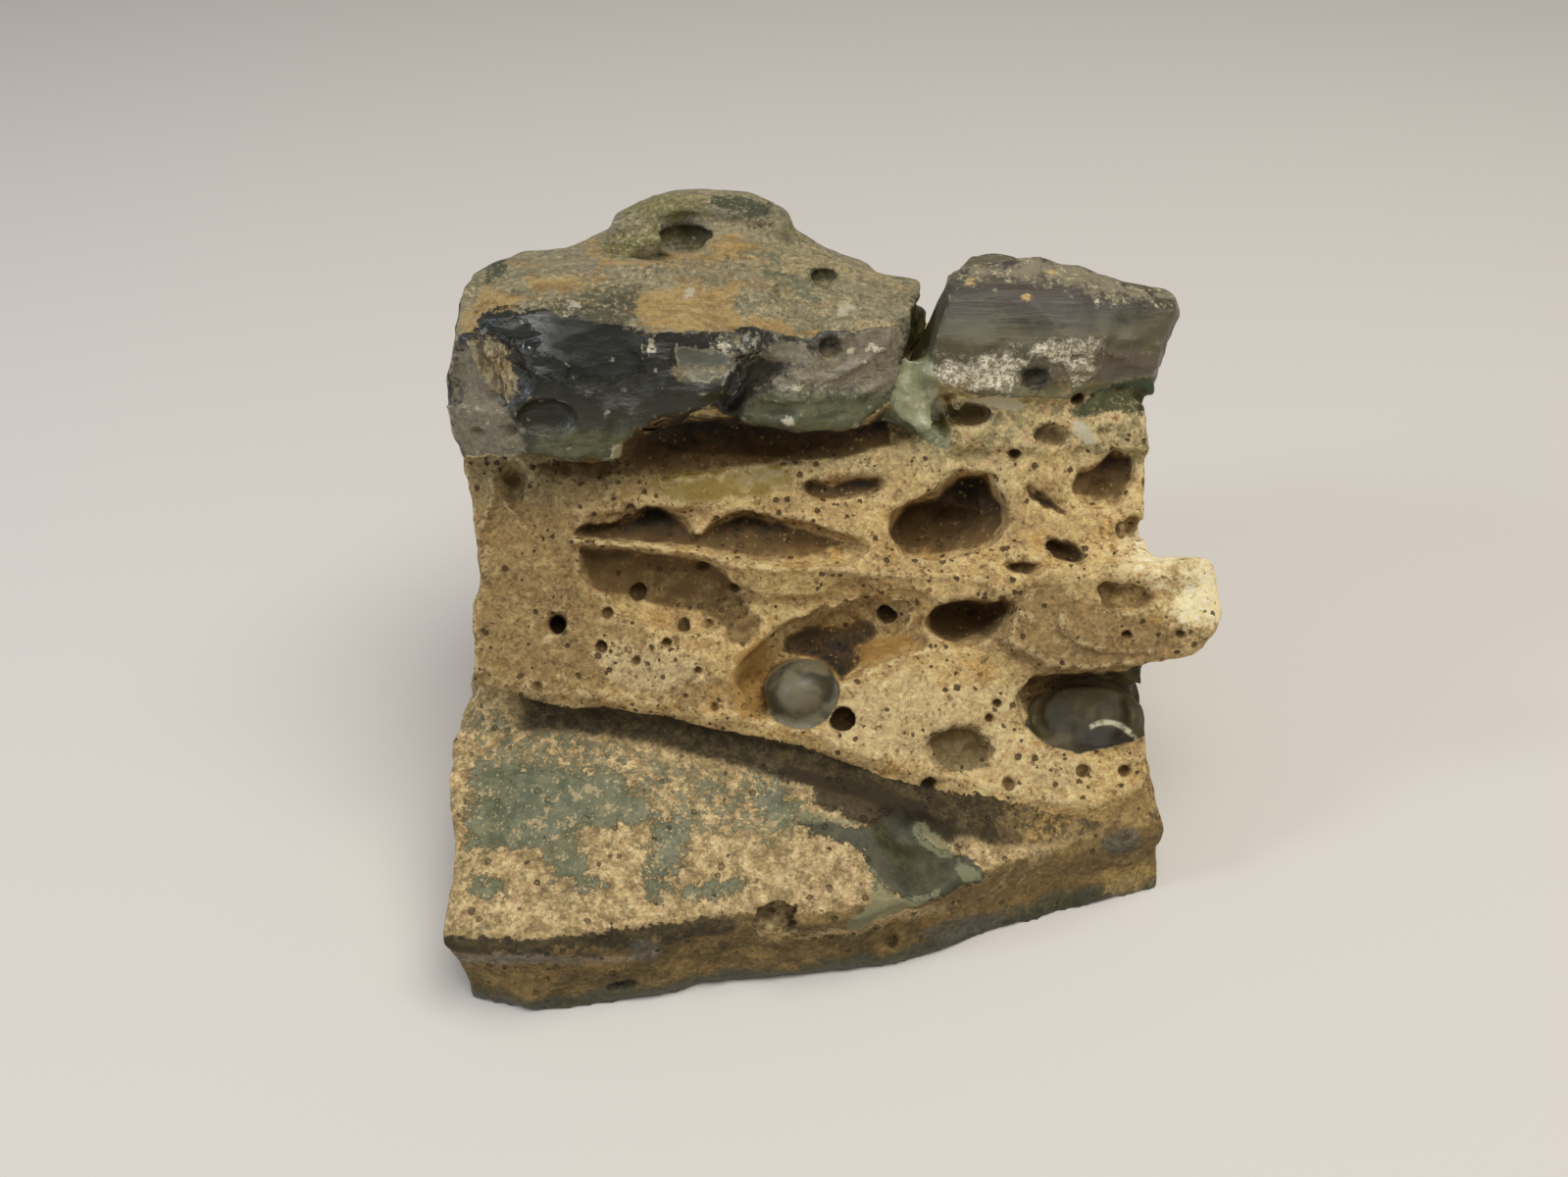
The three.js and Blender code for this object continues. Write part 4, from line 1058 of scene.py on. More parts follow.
class Tree:
    """Adds nodes to one material or group and joins them up.

    Noise lies at the tree's own place on the object, in millimetres, unless it is given another.
    """

    def __init__(self, tree):
        self.tree = tree
        self.place = None

    def add(self, kind, inputs, **settings):
        """A node of that kind, with its sockets set to numbers or joined to other sockets."""
        node = self.tree.nodes.new(kind)
        for name, value in settings.items():
            setattr(node, name, value)
        for key, value in inputs.items():
            if isinstance(value, bpy.types.NodeSocket):
                self.join(value, node.inputs[key])
            elif value is not None:
                node.inputs[key].default_value = value
        return node

    def join(self, socket, target):
        self.tree.links.new(socket, target)

    def find_place(self):
        """Sets the place, in millimetres from the foot's front corner."""
        metres = self.add("ShaderNodeTexCoord", {}).outputs["Object"]
        self.place = self.vectors("ADD", self.vectors("MULTIPLY", metres, (1 / MM,) * 3), tuple(-CORNER / MM))

    def axes(self):
        """How far across, back and up the place is."""
        return self.add("ShaderNodeSeparateXYZ", {0: self.place}).outputs

    def stretch(self, *factors):
        """The place with its axes multiplied, so that noise there is drawn out."""
        return self.vectors("MULTIPLY", self.place, factors)

    def vectors(self, operation, a, b):
        return self.add("ShaderNodeVectorMath", {0: a, 1: b}, operation=operation).outputs[0]

    def noise(self, size, detail=3.0, rough=0.55, at=None, twist=0.0):
        inputs = {"Vector": self.place if at is None else at, "Scale": self.inverse(size),
                  "Detail": detail, "Roughness": rough, "Distortion": twist}
        return self.add("ShaderNodeTexNoise", inputs).outputs[0]

    def inverse(self, size):
        """One over a size, whether it is a number or comes from a socket."""
        return self.maths("DIVIDE", 1.0, size) if isinstance(size, bpy.types.NodeSocket) else 1.0 / size

    def blots(self, size, detail, rough, low, high, at=None):
        """Blots of noise, from 0 where the noise is below low to 1 where it is above high."""
        return self.mask(self.noise(size, detail, rough, at), low, high)

    def vary(self, size, amount, detail=4.0, rough=0.65, at=None):
        """Noise around 0 that mostly keeps within the amount."""
        return self.times(self.maths("SUBTRACT", self.noise(size, detail, rough, at), 0.5), amount * 4)

    def ragged(self, value, low, high, *noise, **settings):
        """The mask of a value that noise moves up and down first."""
        return self.mask(self.plus(value, self.vary(*noise, **settings)), low, high)

    def crumbled(self, name, size, amount, soft=0.2):
        """A stored patch whose edge breaks up into crumbs of about that size."""
        coarse = self.vary(1.5 * size, 1.5 * amount, 6.0, 0.7)
        fine = self.vary(0.4 * size, 1.1 * amount, 5.0, 0.8)
        return self.edge(name, self.plus(coarse, fine), soft)

    def edge(self, name, moved, soft):
        """1 inside a stored patch and 0 outside it, with an edge moved by a number of millimetres."""
        return self.mask(self.plus(self.attribute(name), moved), -soft, soft)

    def cells(self, size, at=None):
        """The distance to scattered points, and three numbers of each point's own."""
        inputs = {"Vector": self.place if at is None else at, "Scale": self.inverse(size)}
        found = self.add("ShaderNodeTexVoronoi", inputs).outputs
        return found["Distance"], self.add("ShaderNodeSeparateColor", {0: found["Color"]}).outputs

    def mask(self, value, low, high):
        """0 below low, 1 above high, and smooth between."""
        inputs = {"Value": value, "From Min": low, "From Max": high}
        return self.add("ShaderNodeMapRange", inputs, interpolation_type="SMOOTHSTEP").outputs[0]

    def maths(self, operation, a, b=None):
        return self.add("ShaderNodeMath", {0: a, 1: b}, operation=operation).outputs[0]

    def plus(self, a, b):
        return self.maths("ADD", a, b)

    def times(self, a, b):
        return self.maths("MULTIPLY", a, b)

    def most(self, a, b):
        return self.maths("MAXIMUM", a, b)

    def mix(self, share, one, other, blend="MIX"):
        """The first colour where the share is 0, and the second where it is 1."""
        inputs = {0: share, 6: self.opaque(one), 7: self.opaque(other)}
        return self.add("ShaderNodeMix", inputs, data_type="RGBA", blend_type=blend).outputs[2]

    def paint(self, base, *coats):
        """A base colour with coats over it in turn: each one's share, its colour and the most it covers."""
        for share, colour, most in coats:
            base = self.mix(self.times(share, most) if most != 1.0 else share, base, colour)
        return base

    def sandy(self, base, shade, strength):
        """A base colour whose grains are darker and lighter than it."""
        return self.mix(strength, base, self.between(shade, 0.12, 0.88), "OVERLAY")

    def opaque(self, colour):
        """A colour with the fourth number its socket needs, or the socket it comes from."""
        return colour if isinstance(colour, bpy.types.NodeSocket) else (*colour, 1.0)

    def between(self, share, low, high):
        """A number that goes from low to high with the share."""
        return self.add("ShaderNodeMix", {0: share, 2: low, 3: high}, data_type="FLOAT").outputs[0]

    def attribute(self, name):
        return self.add("ShaderNodeAttribute", {}, attribute_name=name).outputs["Fac"]

    def group(self, name, **inputs):
        """The outputs of a group that is given the place and those inputs."""
        given = {"Vector": self.place, **inputs}
        return self.add("ShaderNodeGroup", given, node_tree=bpy.data.node_groups[name]).outputs

    def specks(self, size, share):
        return self.group("specks", Size=size, Share=share)["Mask"]

    def shaded_and_stained(self, base, shade_and_stain, deep, hollow):
        """A base colour with painted shade and stain in its hollows, and deeper painted shade in its deepest
        ones.
        """
        return self.group("shade_and_stain", Color=base, Stain=self.opaque(shade_and_stain), Deep=self.opaque(deep),
                          Hollow=hollow)["Color"]

    def bump(self, height, distance):
        return self.add("ShaderNodeBump", {"Height": height, "Distance": distance * MM}).outputs[0]


def new_group(name, inputs, outputs):
    """A node group with a place, further inputs and outputs of those kinds: its tree and its two ends."""
    group = bpy.data.node_groups.new(name, "ShaderNodeTree")
    for label, (kind, default) in {"Vector": ("Vector", None), **inputs}.items():
        socket = group.interface.new_socket(label, in_out="INPUT", socket_type=f"NodeSocket{kind}")
        if default is not None:
            socket.default_value = default
    for label, kind in outputs.items():
        group.interface.new_socket(label, in_out="OUTPUT", socket_type=f"NodeSocket{kind}")
    tree = Tree(group)
    given = group.nodes.new("NodeGroupInput").outputs
    tree.place = given["Vector"]
    return tree, given, group.nodes.new("NodeGroupOutput").inputs


def new_material(name, **values):
    """A material whose shader has those plain values, with its tree and its shader's sockets."""
    material = bpy.data.materials.new(name)
    material.use_nodes = True
    shader = material.node_tree.nodes["Principled BSDF"]
    for label, value in values.items():
        shader.inputs[label.replace("_", " ")].default_value = value
    tree = Tree(material.node_tree)
    tree.find_place()
    return tree, shader.inputs


def make_grain_group():
    """Sandy grains: each grain's own shade, small pits between them, and their height."""
    tree, given, out = new_group("grain", {"Size": ("Float", 1.0), "Pits": ("Float", 0.5)},
                                 {"Shade": "Float", "Pit": "Float", "Height": "Float"})
    _, fine = tree.cells(given["Size"])
    _, coarse = tree.cells(tree.times(given["Size"], 2.1))
    own = tree.between(0.35, fine[0], coarse[1])
    shade = tree.between(0.3, own, tree.blots(tree.times(given["Size"], 5.0), 4.0, 0.7, 0.3, 0.7))
    bent = tree.times(tree.noise(given["Size"], 3.0, 0.7), 0.5)
    distance, numbers = tree.cells(tree.times(given["Size"], 3.2))
    reach = tree.between(numbers[2], 0.3, 0.6)
    small = tree.mask(tree.maths("SUBTRACT", tree.plus(distance, bent), reach), 0.1, -0.02)
    pit = tree.times(small, tree.maths("LESS_THAN", numbers[1], given["Pits"]))
    tree.join(shade, out["Shade"])
    tree.join(pit, out["Pit"])
    tree.join(tree.maths("SUBTRACT", shade, tree.times(pit, 1.8)), out["Height"])


def make_shade_and_stain_group():
    """Painted shade mixed with a stain colour where the surface is shut in, and deeper painted shade where it
    is most shut in.
    """
    colours = {name: ("Color", None) for name in ("Color", "Stain", "Deep")}
    tree, given, out = new_group("shade_and_stain", {**colours, "Hollow": ("Float", 0.0)}, {"Color": "Color"})
    shut = tree.plus(given["Hollow"], tree.vary(2.2, 0.14, 4.0, 0.68))
    dirty = tree.mix(tree.mask(shut, 0.2, 0.55), given["Color"], given["Stain"])
    tree.join(tree.mix(tree.mask(shut, 0.5, 0.95), dirty, given["Deep"]), out["Color"])


def make_speck_group():
    """Scattered uneven specks: where they are, as a mask."""
    tree, given, out = new_group("specks", {"Size": ("Float", 1.0), "Share": ("Float", 0.3)},
                                 {"Mask": "Float"})
    distance, numbers = tree.cells(given["Size"])
    away = tree.plus(distance, tree.vary(given["Size"], 0.5, 4.0, 0.75))
    spot = tree.mask(away, tree.between(numbers[2], 0.22, 0.55), 0.1)
    tree.join(tree.times(spot, tree.maths("LESS_THAN", numbers[0], given["Share"])), out["Mask"])


def make_froth(colours):
    """Sandy froth, with pits, hollows darkened with painted shade and stain, a few glazed patches and glassy
    beads.
    """
    tree, shader = new_material("froth", Specular_IOR_Level=0.4, Coat_Roughness=0.15)
    across, _, height = tree.axes()
    crowd = tree.blots(11.0, 3.0, 0.55, 0.4, 0.62)
    grain = tree.group("grain", Size=0.4, Pits=tree.between(crowd, 0.1, 0.45))
    # A duller tone at the froth's left end, and painted shade under the arm.
    duller = tree.most(tree.crumbled("dull_and_shade", 4.0, 2.4, 1.6), tree.ragged(across, -16, -34, 8.0, 8.0))
    higher = tree.ragged(height, 52, 62, 6.0, 4.0)
    glazed = tree.edge("glaze", tree.vary(3.5, 1.0), 0.5)
    base = tree.mix(tree.blots(9.0, 6.0, 0.7, 0.4, 0.6), colours.froth_mid, colours.froth_light)
    base = tree.paint(
        base,
        (tree.blots(6.0, 5.0, 0.7, 0.52, 0.62, tree.stretch(1, 1, 1.5)), colours.froth_amber, 0.6),
        (tree.blots(2.6, 6.0, 0.75, 0.55, 0.62), colours.froth_brown, 0.35),
        (duller, colours.froth_dull_and_shade, 0.75),
        (tree.crumbled("bright", 5.0, 3.0, 2.0), colours.froth_cream, 0.4),
        (higher, colours.froth_cream, 0.5),
        (tree.times(higher, tree.blots(2.2, 6.0, 0.75, 0.44, 0.54)), colours.froth_green, 0.7),
        (tree.crumbled("bottle", 1.6, 0.6), colours.bottle, 0.85),
        (tree.crumbled("pale", 3.0, 1.4, 1.2), colours.nub, 1.0),
        (tree.crumbled("dent", 2.0, 0.7, 0.3), colours.dent, 0.85),
        (glazed, colours.glaze, 0.9))
    clean = tree.between(glazed, 1.0, 0.3)
    worn = tree.times(tree.mask(tree.attribute("crest"), 0.04, 0.2), tree.mask(grain["Shade"], 0.3, 0.6))
    base = tree.paint(
        tree.sandy(base, grain["Shade"], tree.times(clean, 0.75)),
        (tree.times(tree.mask(grain["Shade"], 0.26, 0.16), clean), colours.froth_brown, 0.6),
        (worn, colours.froth_cream, 0.4),
        (tree.times(grain["Pit"], clean), colours.pit, 0.85))
    amber = tree.crumbled("amber", 2.4, 1.2, 0.8)
    # How much painted shade and stain each point gets: the hollows' painted darkness, or how shut in it is.
    shade_and_stain = tree.most(tree.attribute("shade_and_stain"), tree.attribute("hollow"))
    shut = tree.times(shade_and_stain, tree.between(amber, 1.0, 0.6))
    rusty = tree.blots(1.5, 5.0, 0.75, 0.56, 0.66)
    # Painted shade and stain in the hollows, then amber glaze, rusty spots and pale specks.
    base = tree.paint(
        tree.shaded_and_stained(base, colours.hollow, colours.deep_shade, shut),
        (tree.times(amber, tree.mask(shut, 0.9, 0.3)), colours.amber, 0.8),
        (tree.times(rusty, tree.mask(shut, 0.3, 0.6)), colours.hollow_red, 0.6),
        (tree.times(tree.specks(0.7, 0.16), tree.mask(shut, 0.35, 0.6)), colours.froth_mid, 0.6))
    # glass: the bead, and the pocket at the right edge
    glassy = tree.edge("bead", tree.vary(3.0, 0.3), 0.15)
    swirl = tree.mask(tree.noise(4.5, 3.0, 0.5, twist=0.25), 0.38, 0.62)
    pocket = tree.mask(across, 30, 31)
    glass = tree.paint(
        tree.mix(swirl, colours.bead_dark, colours.bead_light),
        (pocket, tree.mix(swirl, colours.pocket_dark, colours.pocket_light), 1.0),
        (tree.blots(2.4, 5.0, 0.7, 0.54, 0.68), colours.moss_and_shade, 0.6),
        (tree.mask(shut, 0.25, 0.7), colours.dent, 0.8))
    # Painted shade and dark spots, among them a dark painted reflection under the pocket's glint, then pale
    # chips, among them the pocket's painted highlight.
    final = tree.paint(
        tree.mix(glassy, base, glass),
        (tree.crumbled("shade_and_dark_spots", 1.2, 0.3, 0.5), colours.deep_shade, 0.7),
        # Pale chips; in the pocket the arc among them is a painted highlight.
        (tree.edge("chips", 0.15, 0.25), colours.chip, 0.85))
    tree.join(final, shader["Base Color"])
    rough = tree.between(glazed, 0.9, 0.34)
    tree.join(tree.between(glassy, rough, tree.between(pocket, 0.5, 0.6)), shader["Roughness"])
    tree.join(tree.times(glassy, tree.between(pocket, 0.06, 0.0)), shader["Coat Weight"])
    relief = tree.times(tree.times(grain["Height"], clean), tree.between(glassy, 1.0, 0.05))
    tree.join(tree.bump(relief, 0.4), shader["Normal"])


def make_cap_glass(colours):
    """Dark broken glass in front, and a weathered, rust-patched skin on top."""
    tree, shader = new_material("cap_glass", Coat_Roughness=0.08, IOR=1.5)
    across, back, height = tree.axes()
    flow = tree.stretch(0.4, 1.0, 1.0)
    hollow = tree.attribute("hollow")
    fine = tree.noise(0.7, 6.0, 0.8)
    black = tree.crumbled("black", 2.4, 1.0, 0.3)
    # Painted shade in the cap's notch, grooves and pits.
    shade_and_dark_spots = tree.crumbled("shade_and_dark_spots", 2.0, 0.8, 0.5)
    facing = tree.plus(tree.attribute("upward"), tree.vary(2.6, 0.16, 6.0, 0.75, flow))
    skin = tree.mask(tree.plus(facing, tree.times(hollow, 0.7)), 0.54, 0.6)
    skin = tree.times(skin, tree.mask(height, 72, 76))
    skin = tree.most(skin, tree.ragged(back, 56, 58, 5.0, 4.0, 6.0, 0.75))
    skin = tree.times(skin, tree.maths("SUBTRACT", 1.0, black))
    # the glass
    low = tree.ragged(height, 75, 66, 6.0, 2.4, 6.0, at=flow)
    lobes = tree.crumbled("lobe", 3.0, 1.8, 2.4)
    facet = tree.plus(tree.attribute("facet"), tree.vary(1.8, 0.8, 6.0, 0.75))
    rim = tree.mask(tree.maths("ABSOLUTE", facet), 0.35, 0.05)
    scratches = tree.blots(0.8, 4.0, 0.7, 0.6, 0.72, tree.stretch(0.12, 1.0, 1.6))
    lines = tree.blots(1.0, 3.0, 0.6, 0.62, 0.7, tree.stretch(0.1, 1.0, 1.8))
    dusty = tree.crumbled("dusty", 3.0, 1.6, 1.0)
    worn = tree.ragged(tree.attribute("crest"), 0.2, 0.34, 1.2, 0.12, 5.0)
    folded = tree.blots(1.4, 4.0, 0.7, 0.42, 0.58, tree.stretch(1.6, 0.6, 0.5))
    flank = tree.mix(folded, colours.side_brown, colours.skin_tan)
    glass = tree.paint(
        tree.mix(tree.blots(9.0, 5.0, 0.65, 0.38, 0.62, flow), colours.glass_dark, colours.glass_grey),
        (low, colours.glass_sage, 0.7),
        (tree.mask(tree.attribute("thin"), 0.3, 0.85), colours.glass_sage, 0.6),
        (tree.blots(3.0, 6.0, 0.75, 0.56, 0.64), colours.skin_dark, 0.45),
        (lobes, colours.lobe, 0.8),
        (tree.times(lobes, tree.blots(2.2, 7.0, 0.78, 0.48, 0.4, flow)), colours.glass_dark, 0.55),
        (tree.mask(facet, -0.4, 0.6), colours.facet, 0.75),
        (rim, colours.chip, 0.4),
        (scratches, colours.facet, 0.4),
        (dusty, tree.mix(tree.mask(fine, 0.42, 0.58), colours.side_grey, colours.dust), 0.8),
        (black, colours.glass_black, 0.9),
        (shade_and_dark_spots, colours.glass_dark, 0.8),
        (tree.times(dusty, lines), colours.glass_black, 0.5),
        (worn, colours.chip, 0.4),
        (tree.times(tree.crumbled("bruise", 2.0, 1.0, 0.4), tree.mask(fine, 0.46, 0.6)), colours.chip, 0.5),
        (tree.crumbled("flank", 2.2, 1.2, 0.6), flank, 0.75))
    glass = tree.sandy(glass, fine, 0.6)
    # the skin
    patchy = tree.noise(2.4, 8.0, 0.85, flow)
    rusty = tree.crumbled("rust", 2.0, 1.3, 0.25)
    rust = tree.mix(tree.mask(patchy, 0.44, 0.56), colours.rust_dark, colours.rust)
    crowded = tree.blots(6.0, 5.0, 0.7, 0.42, 0.58, flow)
    quiet = tree.between(rusty, tree.between(crowded, 0.4, 0.75), 0.3)
    top = tree.paint(
        tree.mix(tree.blots(3.0, 7.0, 0.75, 0.42, 0.58, flow), colours.skin_green, colours.skin_tan),
        (tree.blots(8.0, 5.0, 0.65, 0.42, 0.54, flow), colours.skin_grey, 0.7),
        (shade_and_dark_spots, colours.skin_dark, 0.75),
        (tree.mask(patchy, 0.48, 0.4), colours.skin_dark, 0.4),
        (tree.mask(patchy, 0.54, 0.64), colours.skin_light, 0.4),
        (tree.blots(5.0, 6.0, 0.75, 0.54, 0.64, flow), colours.rust_dark, 0.45),
        (tree.crumbled("olive", 2.2, 1.2, 0.4), colours.olive, 0.8),
        (tree.crumbled("bottle", 2.0, 0.8, 0.3), colours.bottle, 0.85),
        (rusty, rust, 0.85),
        (tree.mask(fine, 0.48, 0.4), colours.skin_dark, quiet),
        (tree.mask(fine, 0.53, 0.62), colours.skin_light, quiet))
    # Painted shade in the skin's hollows.
    top = tree.shaded_and_stained(top, colours.moss_and_shade, colours.deep_shade, hollow)
    chipped = tree.most(tree.crumbled("chips", 1.2, 0.6, 0.2), tree.times(tree.specks(1.1, 0.07), 0.5))
    base = tree.paint(tree.mix(skin, glass, top), (chipped, colours.chip, 0.9))
    tree.join(base, shader["Base Color"])
    # the black glass shines at its left end alone
    shiny = tree.times(black, tree.ragged(across, -29, -34, 3.0, 2.0))
    gloss = tree.between(tree.blots(5.0, 3.0, 0.55, 0.35, 0.65), 0.25, 0.45)
    for share, duller in ((black, 0.6), (shiny, 0.1), (dusty, 0.6), (skin, 0.6)):
        gloss = tree.between(share, gloss, duller)
    tree.join(gloss, shader["Roughness"])
    tree.join(tree.between(skin, tree.between(shiny, 0.08, 0.6), 0.04), shader["Coat Weight"])
    splinters = tree.between(shiny, tree.times(black, 0.7), 2.4)
    splintered = tree.times(tree.cells(1.7, flow)[0], splinters)
    ripple = tree.noise(2.4, 5.0, 0.6, tree.stretch(0.5, 1, 1))
    raised = tree.plus(tree.plus(ripple, tree.times(fine, tree.between(skin, 0.16, 1.0))), splintered)
    tree.join(tree.bump(raised, 0.5), shader["Normal"])


def make_block_glass(colours):
    """Smooth grey glass with fine drawn lines, and a whitish chipped band over a green foot."""
    tree, shader = new_material("block_glass", Coat_Roughness=0.2, Specular_IOR_Level=0.35)
    _, _, height = tree.axes()
    lines = tree.noise(0.9, 5.0, 0.72, tree.stretch(0.05, 0.9, 1.0))
    broad = tree.blots(8.0, 5.0, 0.55, 0.38, 0.6, tree.stretch(0.3, 1, 1))
    satin = tree.edge("satin", tree.vary(2.0, 0.5, 6.0, 0.75), 0.4)
    rim = tree.crumbled("rim", 3.0, 1.6, 0.8)
    rubble = tree.noise(0.6, 5.0, 0.8, tree.stretch(0.5, 1, 1))
    slanted = tree.blots(0.6, 4.0, 0.75, 0.47, 0.56, tree.stretch(1.0, 0.3, 0.4))
    bruised = tree.crumbled("bruise", 3.0, 1.8, 0.8)
    bruise = tree.times(bruised, tree.most(tree.mask(rubble, 0.43, 0.52), slanted))
    dirt = tree.times(tree.blots(2.2, 5.0, 0.75, 0.56, 0.64), tree.mask(height, 76, 72))
    base = tree.paint(
        tree.mix(broad, colours.block_dark, colours.block_grey),
        (tree.mask(lines, 0.5, 0.66), colours.block_light, 0.55),
        (tree.mask(lines, 0.46, 0.36), colours.glass_dark, 0.35),
        (tree.ragged(height, 80.0, 76.0, 4.0, 1.6), colours.block_olive, 0.75),
        (satin, colours.block_satin, 0.85),
        (rim, colours.skin_grey, 0.6),
        (tree.times(rim, tree.blots(1.2, 6.0, 0.8, 0.56, 0.64)), colours.skin_light, 0.7),
        (tree.mask(tree.attribute("crest"), 0.2, 0.4), colours.chip, 0.3),
        (bruised, colours.block_pale, 0.85),
        (bruise, colours.block_white, 0.8),
        (tree.times(bruised, tree.mask(rubble, 0.42, 0.34)), colours.block_dark, 0.4),
        (tree.ragged(height, 70.0, 68.6, 3.0, 0.9), colours.block_green, 0.7),
        (dirt, colours.froth_mid, 0.6),
        (tree.crumbled("bottle", 1.6, 0.6), colours.bottle, 0.9),
        # Painted shade by the crack, and a dark spot on the block.
        (tree.crumbled("shade_and_dark_spots", 1.6, 0.8, 0.3), colours.glass_dark, 0.8),
        (tree.crumbled("rust", 1.0, 0.3, 0.2), colours.rust, 0.9),
        (tree.crumbled("chips", 1.2, 0.6, 0.2), colours.block_white, 0.8))
    # Painted shade in the block's hollows.
    base = tree.shaded_and_stained(base, colours.moss_and_shade, colours.deep_shade, tree.attribute("hollow"))
    tree.join(tree.sandy(base, tree.noise(0.7, 6.0, 0.8), 0.5), shader["Base Color"])
    tree.join(tree.between(bruise, 0.45, 0.6), shader["Roughness"])
    tree.join(tree.times(satin, 0.3), shader["Coat Weight"])
    relief = tree.plus(tree.times(lines, 0.5), tree.times(bruise, 0.8))
    tree.join(tree.bump(relief, 0.35), shader["Normal"])


def make_drip(colours):
    """Pale glass whose two colours swirl into each other, with a little dirt."""
    tree, shader = new_material("drip_glass", Coat_Weight=0.2, Coat_Roughness=0.12, IOR=1.5)
    swirl = tree.mask(tree.noise(3.0, 5.0, 0.65, twist=0.8), 0.36, 0.66)
    thin = tree.times(tree.mask(tree.attribute("thin"), 0.2, 0.8), 0.5)
    base = tree.paint(
        tree.mix(tree.plus(swirl, thin), colours.drip_green, colours.drip_pale),
        (tree.blots(2.0, 5.0, 0.75, 0.56, 0.66), colours.moss_and_shade, 0.5),
        (tree.specks(1.1, 0.2), colours.chip, 0.5))
    # Painted shade in the drip's hollows.
    base = tree.shaded_and_stained(base, colours.moss_and_shade, colours.deep_shade, tree.attribute("hollow"))
    tree.join(base, shader["Base Color"])
    tree.join(tree.between(tree.noise(1.5), 0.25, 0.5), shader["Roughness"])
    tree.join(tree.bump(tree.noise(2.0, 3.0), 0.3), shader["Normal"])


def make_wedge(colours):
    """Sage glass under a crumbling tan crust, with broken brown sides and a dark glassy break."""
    tree, shader = new_material("wedge", Specular_IOR_Level=0.4)
    across, back, height = tree.axes()
    grain = tree.group("grain", Size=0.42, Pits=0.12)
    crust = tree.paint(
        tree.mix(tree.blots(2.0, 8.0, 0.82, 0.43, 0.57), colours.crust_tan, colours.crust_pale),
        (tree.blots(2.4, 6.0, 0.78, 0.55, 0.62), colours.sage_dark, 0.45))
    # bare glass: patches with crumbling edges, and above them crust and glass in crumbs
    glass = tree.paint(
        tree.mix(tree.blots(3.0, 6.0, 0.72, 0.38, 0.62), colours.sage_dark, colours.sage),
        (tree.specks(0.6, 0.3), colours.froth_cream, 0.45),
        (tree.blots(2.4, 5.0, 0.7, 0.57, 0.63), colours.crust_pale, 0.6))
    patches = tree.crumbled("sage", 2.0, 2.2, 0.6)
    scattered = tree.times(tree.blots(1.4, 4.0, 0.7, 0.46, 0.54), 0.85)
    bare = tree.most(patches, tree.times(tree.crumbled("mix", 4.0, 2.4, 1.2), scattered))
    # the wall under the froth's lip: painted shade at its left, mottled brown and buff at its right
    wall = tree.edge("wall", tree.vary(2.0, 0.9, 5.0, 0.75), 0.7)
    wall = tree.times(wall, tree.ragged(across, -42, -37, 2.0, 1.2))
    shadowed = tree.mix(tree.blots(1.6, 6.0, 0.78, 0.44, 0.6), colours.wall, colours.pale_lip_shade)
    mottled = tree.paint(
        tree.mix(tree.blots(2.2, 6.0, 0.78, 0.44, 0.56), colours.side_brown, colours.buff),
        (tree.blots(1.5, 5.0, 0.78, 0.55, 0.62), colours.side_grey, 0.7))
    right = tree.most(tree.ragged(across, 29, 38, 3.0, 3.0), tree.mask(back, 40, 50))
    # the broken sides, with a black line along the rim and green glass along the ground
    side_edge = tree.plus(tree.attribute("side"), tree.vary(2.0, 1.3, 6.0, 0.78))
    side = tree.mask(side_edge, -0.2, 0.2)
    drawn = tree.blots(3.0, 6.0, 0.75, 0.42, 0.58, tree.stretch(0.45, 0.7, 1.0))
    low = tree.ragged(height, 3.8, 2.2, 4.0, 1.8, 5.0)
    lighter = tree.times(tree.ragged(across, 14, 30, 6.0, 5.0), tree.mask(height, 2, 5))
    rim = tree.times(tree.mask(side_edge, 2.1, 1.6), tree.mask(height, 10.0, 11.0))
    rim = tree.times(rim, tree.ragged(across, 0, -14, 4, 8, 5.0, 0.75))
    broken = tree.paint(
        tree.mix(drawn, colours.side_brown, colours.side_ochre),
        (tree.blots(2.0, 5.0, 0.75, 0.58, 0.66), colours.side_red, 0.5),
        (low, colours.side_green, 0.8),
        (lighter, colours.side_ochre, 0.5),
        (rim, colours.glass_black, 0.72))
    base = tree.paint(
        tree.mix(bare, crust, glass),
        (wall, tree.mix(right, shadowed, mottled), 1.0),
        (side, broken, 1.0),
        (tree.crumbled("slate", 2.0, 0.9, 0.5), colours.slate, 0.75),
        (tree.crumbled("buff", 2.0, 1.0, 0.6), colours.buff, 0.85),
        (tree.crumbled("corner", 3.0, 2.4, 1.8), colours.corner, 0.7),
        (tree.crumbled("bloom", 2.0, 0.8, 0.6), colours.bloom, 0.7))
    # grains everywhere but on the barest glass, then the glassy break, its pale brink and the painted shadow
    # of the overhang
    bowl = tree.crumbled("bowl", 2.6, 1.0, 0.2)
    swirl = tree.mask(tree.noise(3.0, 5.0, 0.65, twist=0.6), 0.4, 0.64)
    base = tree.paint(
        tree.sandy(base, grain["Shade"], tree.between(patches, 0.75, 0.3)),
        (tree.times(grain["Pit"], tree.maths("SUBTRACT", 1.0, bare)), colours.pit, 0.6),
        (bowl, tree.mix(swirl, colours.scoop_dark, colours.scoop_mid), 0.92),
        (tree.crumbled("brink", 2.0, 0.7, 0.3), colours.scoop_light, 0.75),
        (tree.crumbled("shade", 2.0, 1.0, 0.6), colours.overhang_shade, 0.9),
        (tree.crumbled("streak", 1.4, 0.5, 0.4), colours.scoop_light, 0.75))
